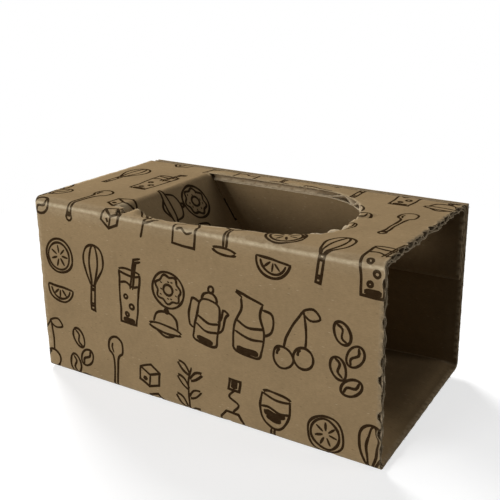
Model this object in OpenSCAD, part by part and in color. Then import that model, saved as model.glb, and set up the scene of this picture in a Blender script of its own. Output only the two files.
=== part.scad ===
// Cup carrier: one die-cut blank of corrugated board, folded into an open sleeve and
// glued along the back. A U-shaped cut in the top panel frees a tongue that is pushed
// down into the sleeve and leaves a rounded opening, open to both ends below.
// X runs along the sleeve, -Y is the front panel, Z is up from the underside.

/* [Sleeve] */
// Length of the sleeve, from open end to open end
length = 176; // [140:1:260]
// Depth over the outer faces of the front and back panels
depth = 92; // [80:1:130]
// Height over the outer faces of the bottom and top panels
height = 87; // [65:1:120]

/* [Board] */
// Thickness of the corrugated board over both liners
board_t = 3.6; // [2.8:0.1:4.5]
// Thickness of each flat liner
liner_t = 0.4; // [0.25:0.05:0.6]
// Thickness of the wavy middle sheet
medium_t = 0.4; // [0.25:0.05:0.6]
// Distance between neighbouring flute crests
flute_pitch = 7.6; // [6:0.1:9]
// Half the width of the glue line where a flute crest meets a liner
glue_line = 0.8; // [0.5:0.1:1.2]

/* [Folds] */
// Outer radius of each fold
fold_r = 3; // [2:0.5:4]
// Inner radius of each fold
crease_r = 0.8; // [0.4:0.1:1.5]
// Board beside each fold in which the flutes are crushed shut
crush = 1.2; // [0.5:0.1:3]
// Height of the flap that is glued inside the back panel
glue_flap = 37; // [20:1:50]

/* [Opening] */
// Front face to the front edge of the opening
front_strip = 7; // [6:0.5:14]
// Back face to the back edge of the opening
back_strip = 13; // [11:0.5:20]
// Left end to the hinge line of the tongue
hinge_inset = 42; // [25:1:60]
// Right end to the rounded end of the opening
end_inset = 34; // [20:1:50]

/* [Tongue] */
// Gap that the knife leaves between the tongue and the opening's edges
kerf = 0.4; // [0.2:0.1:1]
// Radius of the bend at the hinge line, on the underside of the board
bend_r = 5; // [4:0.5:14]
// Gap between the tip of the tongue and the bottom panel
tip_gap = 0.6; // [0.3:0.1:2]

/* [Hidden] */
$fn = 96;

kraft = [0.55, 0.45, 0.33];
through = 1;       // how far a cutter runs past the face that it cuts
wave_steps = 8;    // straight steps that draw one flute
root = 0.6;        // how far the panel and the tongue lap over the crushed bend
solve_steps = 40;  // halvings that find the tongue's slope

core_t = board_t - 2 * liner_t;
wave = (core_t - medium_t) / 2;
fold_zone = board_t + crush;
seam_z = height - fold_r;          // raw top edge of the back panel
flap_z = height - glue_flap;       // raw lower edge of the glue flap
front_y = -depth / 2;
back_y = depth / 2;

opening_w = depth - front_strip - back_strip;
opening_r = opening_w / 2;
opening_y = front_y + front_strip + opening_r;
hinge_x = hinge_inset - length / 2;
opening_end_x = length / 2 - end_inset;
opening_r_x = opening_end_x - opening_r;

tongue_w = opening_w - 2 * kerf;
tongue_r = tongue_w / 2;
tongue_length = opening_end_x - kerf - hinge_x;
bend_mid_r = bend_r + board_t / 2;
bend_t = board_t - liner_t;        // crushed hinge, its faces half way into the liners
bend_w = tongue_w - 2 * liner_t;   // and its ends drawn in from the tongue's edges

// Length of the flat part of the tongue beyond a bend of the given angle
function flat_length(angle) = tongue_length - bend_mid_r * angle * PI / 180;

// Height of the tip's lowest corner above the bottom panel's inner face
function tip_height(angle) =
    height - 2 * board_t - bend_r * (1 - cos(angle)) - flat_length(angle) * sin(angle);

// Bend that sets the tip down at the gap, found by halving the range
function tongue_slope(low, high, steps) =
    let (mid = (low + high) / 2)
    steps == 0 ? mid
    : tip_height(mid) > tip_gap ? tongue_slope(mid, high, steps - 1)
    : tongue_slope(low, mid, steps - 1);

slope = tongue_slope(0, 90, solve_steps);

// Whole flutes that fit a zone of board
function flutes_in(zone) = max(1, round(zone / flute_pitch));

// Upper face of the wavy sheet, measured from the middle of the board
function wave_face(s, pitch) =
    let (turn = 360 * s / pitch, steep = wave * 2 * PI / pitch * sin(turn))
    -wave * cos(turn) + medium_t / 2 * sqrt(1 + steep * steep);

// Rectangle with four round corners, from its lower left to its upper right corner
module rounded(low, high, r) {
    size = high - low;
    translate(low + [r, 0]) square([size.x - 2 * r, size.y]);
    translate(low + [0, r]) square([size.x, size.y - 2 * r]);
    for (x = [low.x + r, high.x - r], y = [low.y + r, high.y - r])
        translate([x, y]) circle(r);
}

// One channel between the wavy sheet and the liner above it
module channel(pitch) {
    half = pitch / 2 - glue_line;
    polygon([
        for (i = [0:wave_steps])
            let (s = half * (2 * i / wave_steps - 1))
            [s, wave_face(s, pitch)],
        [half, core_t / 2],
        [-half, core_t / 2]
    ]);
}

// Channels of a zone of board that starts at x = 0, with its outer face up.
// A zone that starts at a raw edge has its first channel cut open by the edge.
module channels(zone, raw_edge) {
    count = flutes_in(zone);
    pitch = zone / count;
    first = raw_edge ? 0 : pitch / 2;
    for (i = [0:count - 1])
        translate([first + i * pitch, 0]) channel(pitch);
    for (i = [0:count - (raw_edge ? 1 : 2)])
        translate([first + (i + 0.5) * pitch, 0]) mirror([0, 1]) channel(pitch);
}

// Outline of the folded board across the sleeve, with Y to the right and Z up
module wrap_outline() {
    difference() {
        union() {
            rounded([front_y, 0], [back_y - board_t, height], fold_r);
            rounded([front_y, 0], [back_y, seam_z], fold_r);
            translate([0, fold_r]) square([back_y, seam_z - fold_r]);
        }
        rounded([front_y + board_t, board_t], [back_y - 2 * board_t, height - board_t], crease_r);
        rounded([front_y + board_t, board_t], [back_y - board_t, flap_z], crease_r);
        translate([0, flap_z - 2 * crease_r]) square([back_y - board_t, 2 * crease_r]);
    }
}

// Channels of the five zones of board: front, top, bottom, back and glue flap
module wrap_channels() {
    mid = board_t / 2;
    translate([front_y + mid, fold_zone]) rotate(90)
        channels(height - 2 * fold_zone, false);
    translate([front_y + fold_zone, height - mid])
        channels(depth - board_t - 2 * fold_zone, false);
    translate([back_y - fold_zone, mid]) rotate(180)
        channels(depth - 2 * fold_zone, false);
    translate([back_y - mid, seam_z]) rotate(-90)
        channels(seam_z - fold_zone, true);
    translate([back_y - board_t - mid, flap_z]) rotate(-90) mirror([1, 0])
        channels(glue_flap - fold_zone, true);
}

// The board folded round and glued, before the opening is cut
module wrap() {
    rotate([90, 0, 90])
        linear_extrude(height = length, center = true)
            difference() {
                wrap_outline();
                wrap_channels();
            }
}

// Flat U shape with its straight end on the Y axis
module u_shape(reach, r) {
    translate([0, -r]) square([reach - r, 2 * r]);
    translate([reach - r, 0]) circle(r);
}

// Cutter for the opening in the top panel
module opening() {
    translate([hinge_x + root, opening_y, height - board_t - through])
        linear_extrude(height = board_t + 2 * through)
            u_shape(opening_end_x - hinge_x - root, opening_r);
}

// Bend at the hinge line, thinner than the board because its flutes are crushed shut
module tongue_bend() {
    translate([0, bend_w / 2, 0])
        rotate([90, 0, 0])
            rotate_extrude(angle = slope, start = 90 - slope)
                translate([bend_mid_r - bend_t / 2, 0])
                    square([bend_t, bend_w]);
}

// Flat part of the tongue, lying in its own plane with its outer face up
module tongue_plate() {
    reach = flat_length(slope);
    difference() {
        translate([-root, 0, 0])
            linear_extrude(height = board_t)
                u_shape(reach + root, tongue_r);
        translate([crush, -tongue_r + crush, board_t / 2])
            rotate([90, 0, 90])
                linear_extrude(height = reach)
                    channels(tongue_w - 2 * crush, false);
    }
}

// Tongue pushed down from its hinge line until its tip meets the bottom panel
module tongue() {
    translate([hinge_x, opening_y, height - board_t - bend_r]) {
        tongue_bend();
        rotate([0, slope, 0])
            translate([0, 0, bend_r])
                tongue_plate();
    }
}

module sleeve() {
    color(kraft) {
        difference() {
            wrap();
            opening();
        }
        tongue();
    }
}

sleeve();
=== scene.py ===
"""Cup carrier of corrugated kraft board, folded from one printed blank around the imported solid.

The blank is drawn flat, in millimetres: x runs along the sleeve and q runs round it, from the raw
top edge of the back panel down the back, under the bottom, up the front, over the top and down the
glue flap. Depth n is measured inwards from the printed face. Each paper layer is triangulated flat
and then folded into place.
"""

import logging
import math
from dataclasses import dataclass, replace
from enum import Enum, IntEnum

import bpy
import numpy as np
from mathutils import Matrix, Vector
from mathutils.geometry import delaunay_2d_cdt

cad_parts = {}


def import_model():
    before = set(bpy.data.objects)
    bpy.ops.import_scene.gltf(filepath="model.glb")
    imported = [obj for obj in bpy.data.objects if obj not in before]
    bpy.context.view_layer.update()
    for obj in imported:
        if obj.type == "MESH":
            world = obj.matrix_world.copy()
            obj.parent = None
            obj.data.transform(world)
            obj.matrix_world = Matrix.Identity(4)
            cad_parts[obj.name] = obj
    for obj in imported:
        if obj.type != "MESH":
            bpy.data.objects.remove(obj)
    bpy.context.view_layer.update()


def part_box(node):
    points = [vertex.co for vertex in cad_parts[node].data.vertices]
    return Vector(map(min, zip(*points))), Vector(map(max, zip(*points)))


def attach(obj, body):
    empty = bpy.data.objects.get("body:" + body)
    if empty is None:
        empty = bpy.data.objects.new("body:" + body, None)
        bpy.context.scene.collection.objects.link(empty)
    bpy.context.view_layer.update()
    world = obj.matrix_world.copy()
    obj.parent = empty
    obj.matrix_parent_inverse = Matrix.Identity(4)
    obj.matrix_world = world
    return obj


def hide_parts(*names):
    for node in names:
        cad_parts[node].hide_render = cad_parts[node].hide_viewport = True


LOG = logging.getLogger("cup_carrier")
MM = 0.001
FAR = 99.0  # a distance in millimetres that is out of every edge's reach
TINY = 1e-6
BODY = "root"
NODE = "sleeve"


class Layer(IntEnum):
    """The three papers of the board, from the printed face inwards."""

    OUTER = 0
    MEDIUM = 1
    INNER = 2


class Segment(IntEnum):
    """Stretches of the wrap, in the order in which q meets them."""

    BACK = 0
    BACK_FOLD = 1
    BOTTOM = 2
    FRONT_FOLD = 3
    FRONT = 4
    TOP_FOLD = 5
    TOP = 6
    FLAP_FOLD = 7
    FLAP = 8


def smoothstep(value: np.ndarray) -> np.ndarray:
    """Returns an ease from 0 to 1 of values that are cut off at 0 and 1."""
    t = np.clip(value, 0.0, 1.0)
    return t * t * (3.0 - 2.0 * t)


def hump(offset: np.ndarray, width: float) -> np.ndarray:
    """Returns 1 where the offset is 0, fading softly over the width."""
    return np.exp(-(offset / width) ** 2)


def rows_of(*columns: np.ndarray) -> np.ndarray:
    """Returns one row for each place, from arrays that hold one value for each."""
    return np.stack(columns, axis=1)


def mesh_of(columns: np.ndarray, rows: np.ndarray) -> np.ndarray:
    """Returns every crossing of columns and rows, one row each."""
    x, q = np.meshgrid(columns, rows)
    return rows_of(x.ravel(), q.ravel())


class Noise:
    """Seeded random values that run smoothly along a line or over the blank."""

    VALUES = 2048
    WAVES = 6
    SHORTEST = 0.7  # the shortest wave's share of the wavelength
    LONGER = 0.1  # what a radian of phase adds to that share
    SHIFT = 3  # how far a wave is moved along, in radians for each radian of phase

    def __init__(self, seed: int) -> None:
        """Draws the values.

        Args:
            seed: start of the random numbers.
        """
        rng = np.random.default_rng(seed)
        self.values = rng.uniform(-1.0, 1.0, self.VALUES)
        self.waves = rng.uniform(0.0, 2 * math.pi, (self.WAVES, 2))

    def along(self, place: np.ndarray, step: float) -> np.ndarray:
        """Follows the values along a line.

        Args:
            place: distances along the line.
            step: distance from one value to the next.

        Returns:
            Values from -1 to 1.
        """
        at = np.asarray(place, float) / step + self.VALUES / 4
        base = np.floor(at).astype(int)
        ease = smoothstep(at - base)
        return self.values[base % self.VALUES] * (1 - ease) + self.values[(base + 1) % self.VALUES] * ease

    def over(self, x: np.ndarray, q: np.ndarray, wavelength: float) -> np.ndarray:
        """Adds up waves that run over the blank in all directions.

        Args:
            x: along the sleeve.
            q: round the wrap.
            wavelength: about the distance between crests.

        Returns:
            Values from about -1 to 1.
        """
        total = np.zeros_like(np.asarray(x, float))
        for turn, phase in self.waves:
            size = wavelength * (self.SHORTEST + self.LONGER * phase)
            place = x * math.cos(turn) + q * math.sin(turn)
            total += np.sin(place * 2 * math.pi / size + self.SHIFT * phase)
        return total / (self.WAVES / 2)


@dataclass(frozen=True)
class Stretch:
    """A stretch of a line that eases in past its start and out before its stop."""

    start: float
    ease_in: float
    stop: float
    ease_out: float

    def share(self, place: np.ndarray) -> np.ndarray:
        """Returns how much each place is inside, from 0 to 1."""
        rise = smoothstep((place - self.start) / self.ease_in)
        return rise * smoothstep((self.stop - place) / self.ease_out)


@dataclass(frozen=True)
class Uneven:
    """An amount that varies along a line between two limits."""

    mean: float
    spread: float
    step: float
    low: float
    high: float

    def along(self, noise: Noise, place: np.ndarray) -> np.ndarray:
        """Returns the amount at each place."""
        return np.clip(self.mean + self.spread * noise.along(place, self.step), self.low, self.high)


@dataclass(frozen=True)
class Board:
    """Sizes of the folded board in millimetres, the solid's own but for the bend, seam and medium."""

    length: float
    depth: float
    height: float
    board_t: float = 3.6
    liner_t: float = 0.4
    medium_t: float = 0.36
    flute_pitch: float = 7.6
    fold_r: float = 3.0
    crease_r: float = 0.8
    crush: float = 1.2
    glue_flap: float = 37.0
    seam_gap: float = 0.08
    seam_rise: float = 2.4
    front_strip: float = 7.0
    back_strip: float = 13.0
    hinge_inset: float = 42.0
    end_inset: float = 34.0
    kerf: float = 0.4
    bend_r: float = 0.8
    tip_gap: float = 0.6

    @property
    def opening_r(self) -> float:
        """Half the opening's width."""
        return (self.depth - self.front_strip - self.back_strip) / 2

    @property
    def opening_y(self) -> float:
        """Middle of the opening across the sleeve."""
        return self.front_strip + self.opening_r - self.depth / 2

    @property
    def hinge_x(self) -> float:
        """Where the tongue starts to bend."""
        return self.hinge_inset - self.length / 2

    @property
    def end_x(self) -> float:
        """The rounded end of the opening."""
        return self.length / 2 - self.end_inset

    @property
    def round_x(self) -> float:
        """Centre of the opening's rounded end."""
        return self.end_x - self.opening_r

    @property
    def flap_y(self) -> float:
        """Outer face of the glue flap."""
        return self.depth / 2 - self.board_t - self.seam_gap

    @property
    def seam_z(self) -> float:
        """Raw top edge of the back panel."""
        return self.height - self.fold_r + self.seam_rise

    @property
    def flap_z(self) -> float:
        """Raw lower edge of the glue flap."""
        return self.height - self.glue_flap

    @property
    def bend_mid_r(self) -> float:
        """Radius of the tongue's bend at the middle of the board."""
        return self.bend_r + self.board_t / 2

    def slope(self, halvings: int = 50) -> float:
        """Finds how far the tongue bends before its tip meets the bottom panel.

        Args:
            halvings: how often the range of bends is halved.

        Returns:
            The bend in radians.
        """
        low, high = 0.0, math.pi / 2
        reach = self.end_x - self.kerf - self.hinge_x
        for _ in range(halvings):
            mid = (low + high) / 2
            flat = reach - self.bend_mid_r * mid
            drop = self.bend_r * (1 - math.cos(mid))
            tip = self.height - 2 * self.board_t - drop - flat * math.sin(mid)
            low, high = (mid, high) if tip > self.tip_gap else (low, mid)
        return (low + high) / 2


@dataclass(frozen=True)
class Handling:
    """What use has done to the board: lengths in millimetres, angles in degrees, shares of 1."""

    # Slow waves of the panels, held flat beside the folds and damped where something lies behind
    bow: float = 0.26
    bow_length: float = 62.0
    ripple: float = 0.06
    ripple_length: float = 19.0
    held: float = 14.0
    damped: float = 0.5

    # Tear in the front strip beside the hinge, whose sides follow waves of a size and a turn
    tear_inset: float = 5.5
    tear_depth: float = 8.0
    tear_gap: float = 1.6
    tear_waves: tuple[tuple[float, float], ...] = ((0.45, 9.0), (0.2, 23.0))

    # Front strip past the tear: a raised lobe, a dip at the tear, a sag, and the whole strip sunk
    strip_hold: float = 1.4
    strip_past: float = 9.0
    lobe: float = 1.9
    lobe_at: float = 7.2
    lobe_width: float = 3.0
    dip: float = 0.7
    dip_width: float = 2.4
    sag: float = 0.7
    sag_at: float = 8.0
    sag_length: float = 34.0
    sunk: float = 1.25
    sunk_ease: float = 34.0
    sunk_fold: float = 0.7
    sunk_fold_ease: float = 3.6

    # Lip of the rounded end, pressed down by turn, and a crease that slants away from it
    dent_reach: float = 30.0
    lip: float = 0.8
    lip_fade: float = 2.6
    lip_before: float = 4.0
    lip_turn: Stretch = Stretch(-88.0, 30.0, 14.0, 26.0)
    crease: float = 0.8
    crease_width: float = 1.6
    crease_y: float = 2.0
    crease_slant: float = 0.71
    crease_run: Stretch = Stretch(-1.0, 2.0, 17.0, 9.0)
    tongue_calm: Stretch = Stretch(0.0, 20.0, 80.0, 20.0)

    # Right end out of square from this x on: its lower back corner lifted, its upper front one cut
    square_x: float = -20.0
    corner_lift: float = 3.46
    corner_flare: float = 2.85
    corner_cut: float = 1.63

    # Open ends pressed flat: knots by stretch and distance past its start, each end's shares at
    # those knots, and its noise by number, size and step
    squeeze_reach: float = 9.0
    squeeze_most: float = 0.8
    squeeze_knots: tuple[tuple[int, float], ...] = (
        (Segment.BACK, 0.0), (Segment.BACK_FOLD, -8.0), (Segment.BOTTOM, 4.0), (Segment.FRONT_FOLD, -4.0),
        (Segment.FRONT, 8.0), (Segment.TOP, 0.0), (Segment.FLAP_FOLD, 0.0), (len(Segment), 0.0))
    squeeze_right: tuple[float, ...] = (0.25, 0.3, 0.66, 0.66, 0.2, 0.25, 0.3, 0.35)
    squeeze_left: tuple[float, ...] = (0.2, 0.2, 0.45, 0.45, 0.25, 0.25, 0.2, 0.2)
    uneven_right: tuple[tuple[int, float, float], ...] = ((4, 0.16, 7.0), (5, 0.1, 2.6))
    uneven_left: tuple[tuple[int, float, float], ...] = ((1, 0.14, 8.0), (2, 0.08, 2.9))

    # Open ends bitten between the flutes and chipped, by shares where each stretch of the wrap
    # starts and at its stop, with the top fold's moved down the front by ragged_early
    ragged_reach: float = 5.0
    ragged_early: float = 6.0
    bite_depth: tuple[float, ...] = (1.0, 0.35, 0.4)
    bite: Uneven = Uneven(0.65, 0.6, 8.0, 0.1, 1.1)
    bite_gain: float = 1.3
    bite_power: float = 1.5
    bitten_right: tuple[float, ...] = (0.08, 0.08, 0.1, 0.1, 1.55, 1.55, 1.4, 1.4, 0.3, 0.2)
    bitten_left: float = 0.2
    chip_waves: tuple[tuple[float, float, float], ...] = ((0.22, 0.0, 1.3), (0.34, 90.0, 3.7))
    chipped_right: tuple[float, ...] = (0.15, 0.15, 0.12, 0.12, 0.7, 0.8, 2.0, 2.2, 0.6, 0.5)
    chipped_left: float = 0.45

    # Knife cut, roughened by waves of a size and a step away from the hinge
    knife_waves: tuple[tuple[float, float], ...] = ((0.28, 1.7), (0.22, 5.3))
    knife_from: float = 2.0
    knife_ease: float = 6.0
    knife_reach: float = 4.0
    knife_fade: float = 1.1

    # Outer paper torn back: on the front strip past the tear, and on the lip by turn
    strip_bare: Stretch = Stretch(11.0, 3.0, 29.0, 3.0)
    strip_peel: Uneven = Uneven(1.2, 0.9, 3.1, 0.0, 3.0)
    lip_bare: Stretch = Stretch(-52.0, 16.0, -5.0, 14.0)
    lip_peel: Uneven = Uneven(3.9, 1.3, 4.0, 0.0, 6.0)
    peel_reach: float = 16.0

    # Rubbed paper and painted highlights: each fold's share, place beside its middle and width, then the
    # other places
    rubbed_and_highlit_folds: tuple[tuple[Segment, float, float, float], ...] = (
        # the top fold's first two lines are a painted highlight as well as rubbed paper
        (Segment.TOP_FOLD, 1.15, -1.9, 0.85), (Segment.TOP_FOLD, 0.2, 0.4, 2.3),
        (Segment.FRONT_FOLD, 0.5, 0.0, 1.2), (Segment.BACK_FOLD, 0.45, 0.0, 1.2),
        (Segment.FLAP_FOLD, 0.6, 0.0, 1.3))
    # paler band on the front just below the top fold, wider towards the left end: a painted highlight
    top_highlight: float = 0.1
    top_highlight_left: float = 0.14
    top_highlight_x: float = -25.0
    top_highlight_ease: float = 35.0
    top_highlight_at: float = -3.8
    top_highlight_width: float = 2.4
    hinge_rub: float = 0.75
    hinge_at: float = 1.3
    hinge_width: float = 1.7
    hinge_run: Stretch = Stretch(-1.0, 1.0, 9.0, 6.0)
    bare_rub: float = 0.9
    bare_past: float = 1.5
    # the inner papers' torn edges on the front and top are painted paler: torn paper, and a painted highlight
    # where the torn bits catch the light
    torn_pale_and_highlight: float = 1.0
    torn_highlight_fade: float = 1.6
    cut_pale: float = 0.45
    cut_fade: float = 0.7


class FlatBlank:
    """The flat blank: its stretches, its cuts and its flutes."""

    FIRST_FLUTE = 0.5  # count at the back panel's raw edge, where a crest meets the inner liner
    FLUTE_RISE = 1.6  # length over which a flute stands up beside a crushed fold

    def __init__(self, board: Board, handling: Handling) -> None:
        """Lays the wrap's stretches end to end.

        Args:
            board: sizes of the board.
            handling: what use has done to it.
        """
        self.board = board
        self.handling = handling
        r = board.fold_r
        arc = r * math.pi / 2
        self.spans = np.array([
            board.seam_z - r, arc, board.depth - 2 * r, arc, board.height - 2 * r, arc,
            board.flap_y + board.depth / 2 - 2 * r, arc, board.height - r - board.flap_z,
        ])
        self.breaks = np.concatenate([[0.0], np.cumsum(self.spans)])
        self.girth = float(self.breaks[-1])
        self.tear_x = board.hinge_x + handling.tear_inset

    def segment(self, q: np.ndarray) -> np.ndarray:
        """Returns the stretch of the wrap that each q is on."""
        return np.clip(np.searchsorted(self.breaks, q, side="right") - 1, 0, Segment.FLAP)

    def fold_distance(self, q: np.ndarray, fold: Segment) -> np.ndarray:
        """Returns the distance round the wrap from the middle of a fold."""
        return q - (self.breaks[fold] + self.breaks[fold + 1]) / 2

    def top_q(self, y: np.ndarray | float) -> np.ndarray | float:
        """Returns q of a place on the top panel, y across the sleeve."""
        return self.breaks[Segment.TOP] + y + self.board.depth / 2 - self.board.fold_r

    def top_y(self, q: np.ndarray) -> np.ndarray:
        """Returns y across the sleeve of a place on the top panel."""
        return q - self.breaks[Segment.TOP] - self.board.depth / 2 + self.board.fold_r

    def cut_distance(self, x: np.ndarray, q: np.ndarray) -> np.ndarray:
        """Measures how far places on the top panel are outside the opening's edge.

        Args:
            x: along the sleeve.
            q: round the wrap.

        Returns:
            Distances, below zero inside the opening and large off the top panel.
        """
        b = self.board
        y = self.top_y(q) - b.opening_y
        beside = np.abs(y) - b.opening_r
        beyond = np.hypot(np.maximum(x - b.round_x, 0.0), y) - b.opening_r
        before = b.hinge_x - x
        behind_hinge = np.hypot(before, np.maximum(beside, 0.0))
        away = np.where(before > 0, behind_hinge, np.maximum(beside, beyond))
        return np.where(self.segment(q) == Segment.TOP, away, FAR)

    def on_tongue(self, x: np.ndarray, q: np.ndarray) -> np.ndarray:
        """Returns whether each place belongs to the tongue."""
        return (x > self.board.hinge_x) & (self.cut_distance(x, q) < -self.board.kerf / 2)

    def in_kerf(self, x: np.ndarray, q: np.ndarray) -> np.ndarray:
        """Finds the places in the gap that the knife left, or in the tear.

        Args:
            x: along the sleeve.
            q: round the wrap.

        Returns:
            Whether each place is in a gap.
        """
        b = self.board
        away = self.cut_distance(x, q)
        cut = (x > b.hinge_x) & (away < 0) & (away > -b.kerf)
        up = (b.opening_y - b.opening_r - self.top_y(q)) / self.handling.tear_depth
        left, right = self.tear_sides(up)
        torn = (up >= 0) & (up < 1) & (x > left) & (x < right)
        return cut | torn

    def tear_sides(self, up: np.ndarray) -> tuple[np.ndarray, np.ndarray]:
        """Draws both sides of the tear.

        Args:
            up: places along the tear, 0 at the opening's edge and 1 at its tip.

        Returns:
            x of the left and of the right side.
        """
        h = self.handling
        left = sum((size * np.sin(turn * up) for size, turn in h.tear_waves), self.tear_x)
        return left, left + h.tear_gap * np.sqrt(np.clip(1 - up, 0, 1))

    def flute_zones(self) -> list[tuple[float, float, bool, bool]]:
        """Lists the stretches that are fluted.

        Returns:
            Start and length of each zone along q, and whether its start and its stop are raw edges.
        """
        b = self.board
        inset = b.board_t + b.crush - b.fold_r
        zones = [(0.0, self.spans[Segment.BACK] - inset, True, False)]
        for part in (Segment.BOTTOM, Segment.FRONT, Segment.TOP):
            zones.append((self.breaks[part] + inset, self.spans[part] - 2 * inset, False, False))
        flap = self.breaks[Segment.FLAP] + inset
        return zones + [(flap, self.spans[Segment.FLAP] - inset, False, True)]

    def flutes(self, q: np.ndarray) -> tuple[np.ndarray, np.ndarray]:
        """Counts flutes along the wrap.

        Args:
            q: places round the wrap.

        Returns:
            The flute count, whole where a crest meets the outer liner, and how upright the flute
            stands, from 0 where it is crushed to 1.
        """
        places, counts, reached = [], [], self.FIRST_FLUTE
        upright = np.zeros_like(q)
        for start, length, raw_start, raw_stop in self.flute_zones():
            whole = max(1, round(length / self.board.flute_pitch))
            first = reached if raw_start else math.ceil(reached) + 0.5 * raw_stop
            reached = first + whole
            places += [start, start + length]
            counts += [first, reached]
            room = np.minimum(q - start + FAR * raw_start, start + length - q + FAR * raw_stop)
            upright = np.maximum(upright, smoothstep(room / self.FLUTE_RISE))
        return np.interp(q, places, counts), upright


class Blank(FlatBlank):
    """The blank as it is worn, and how it is folded into the sleeve."""

    FOLDED_INTO = 3.6  # length of panel beside a fold that takes up the layers' difference
    WAVE_SEED = 11
    END_SEED = 21
    CUT_SEED = 41
    ROUND_START = 60.0  # where the cut's noise begins on its rounded end
    SIDE_START = 150.0  # and on its straight sides

    def __init__(self, board: Board, handling: Handling) -> None:
        """Lays the blank out and draws its random wear.

        Args:
            board: sizes of the board.
            handling: what use has done to it.
        """
        super().__init__(board, handling)
        self.angle = board.slope()
        self.waves = Noise(self.WAVE_SEED)
        self.ends = [Noise(self.END_SEED + i) for i in range(2 * len(Layer))]
        self.cuts = [Noise(self.CUT_SEED + i) for i in range(2 * len(Layer))]

    def bowed(self, x: np.ndarray, q: np.ndarray) -> np.ndarray:
        """Works out the slow waves of the panels.

        Args:
            x: along the sleeve.
            q: round the wrap.

        Returns:
            Distances along the outward normal, never through the floor or the flap.
        """
        h = self.handling
        part = self.segment(q)
        run = q - self.breaks[part]
        left = self.spans[part] - run
        ripple = h.ripple * self.waves.over(q, x, h.ripple_length)
        wave = h.bow * self.waves.over(x, q, h.bow_length) + ripple
        damped = h.damped * np.abs(wave)
        bows = {
            Segment.BACK: damped * smoothstep(left / h.held),
            Segment.BOTTOM: -damped * smoothstep(np.minimum(run, left) / h.held),
            Segment.FRONT: wave * smoothstep(run / h.held),
            Segment.TOP_FOLD: wave,
            Segment.TOP: wave * smoothstep(left / h.held),
        }
        return np.select([part == panel for panel in bows], list(bows.values()), 0.0)

    def strip_shift(self, x: np.ndarray, q: np.ndarray, near: np.ndarray) -> tuple[np.ndarray, np.ndarray]:
        """Works out how the front strip is bent past the tear.

        Args:
            x: along the sleeve.
            q: round the wrap.
            near: whether each place is beside the opening.

        Returns:
            How far the strip is raised, and how far it is sunk.
        """
        b, h = self.board, self.handling
        past = x - self.tear_x - h.tear_gap / 2
        stop = b.round_x + h.strip_past
        front = near & (self.top_y(q) - b.opening_y < 0)
        sag = h.sag * np.sin(np.clip((past - h.sag_at) / h.sag_length, 0, 1) * math.pi)
        rise = h.lobe * hump(past - h.lobe_at, h.lobe_width) - h.dip * hump(past, h.dip_width) - sag
        free = self.top_y(q) + b.depth / 2 - h.strip_hold
        rise = rise * smoothstep(free / (b.front_strip - h.strip_hold))
        part = self.segment(q)
        fold = smoothstep((q - self.breaks[part] - h.sunk_fold) / h.sunk_fold_ease)
        sunk = np.where(part == Segment.TOP_FOLD, fold, front)
        fall = h.sunk * sunk * smoothstep((stop - x) / h.sunk_ease)
        return np.where(front & (past > 0) & (x < stop), rise, 0.0), np.where(past > 0, fall, 0.0)

    def dent(self, x: np.ndarray, q: np.ndarray) -> np.ndarray:
        """Works out how far handling has pushed the board out of its flat panels.

        Args:
            x: along the sleeve.
            q: round the wrap.

        Returns:
            Distances along the outward normal.
        """
        b, h = self.board, self.handling
        away = self.cut_distance(x, q)
        near = (away > -b.kerf / 2) & (away < h.dent_reach)
        y = self.top_y(q) - b.opening_y
        turn = np.degrees(np.arctan2(y, x - b.round_x))
        lip = h.lip_turn.share(turn) * (x > b.round_x - h.lip_before)
        lip = np.where(near, h.lip * lip * np.exp(-np.maximum(away, 0) / h.lip_fade), 0.0)
        rise, fall = self.strip_shift(x, q, near)
        slant_x, slant_y = (x - b.end_x) * h.crease_slant, (y - h.crease_y) * h.crease_slant
        crease = hump(slant_x - slant_y, h.crease_width) * h.crease_run.share(slant_x + slant_y)
        crease = np.where(near & (self.segment(q) == Segment.TOP), h.crease * crease, 0.0)
        return self.bowed(x, q) - lip + rise - fall - crease

    def squeeze(self, x: np.ndarray, q: np.ndarray) -> np.ndarray:
        """Works out how flat the board is pressed at its open ends.

        Args:
            x: along the sleeve.
            q: round the wrap.

        Returns:
            The share of the thickness that is lost.
        """
        h = self.handling
        knots = [self.breaks[part] + past for part, past in h.squeeze_knots]
        lost = np.zeros_like(q)
        sides = (1, h.squeeze_right, h.uneven_right), (-1, h.squeeze_left, h.uneven_left)
        for side, shares, waves in sides:
            share = np.interp(q, knots, shares)
            for which, size, step in waves:
                share = share + size * self.ends[which].along(q, step)
            inside = self.board.length / 2 - side * x
            pressed = smoothstep((h.squeeze_reach - inside) / h.squeeze_reach)
            lost = lost + np.clip(share, 0, h.squeeze_most) * pressed
        return lost

    def ragged_ends(self, x: np.ndarray, q: np.ndarray, layer: Layer) -> np.ndarray:
        """Bites and chips the ends of the sleeve.

        Args:
            x: along the sleeve.
            q: round the wrap.
            layer: the paper that is roughened.

        Returns:
            New x.
        """
        h = self.handling
        count, upright = self.flutes(q)
        between = 0.5 - 0.5 * np.cos(2 * math.pi * (count + 0.5 * (layer == Layer.INNER)))
        between = h.bite_depth[layer] * np.minimum(h.bite_gain * between ** h.bite_power, 1) * upright
        knots = self.breaks.copy()
        knots[Segment.TOP_FOLD] -= h.ragged_early
        bitten = {1: np.interp(q, knots, h.bitten_right), -1: h.bitten_left}
        chipped = {1: np.interp(q, knots, h.chipped_right), -1: h.chipped_left}
        new_x = x
        for side, noise in ((1, self.ends[layer]), (-1, self.ends[layer + len(Layer)])):
            bites = between * h.bite.along(noise, q)
            chips = sum(size * np.abs(noise.along(q + start, step)) for size, start, step in h.chip_waves)
            inside = self.board.length / 2 - side * x
            weight = np.clip(1 - inside / h.ragged_reach, 0, 1) ** 2
            new_x = new_x - side * (bites * bitten[side] + chips * chipped[side]) * weight
        return new_x

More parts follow.
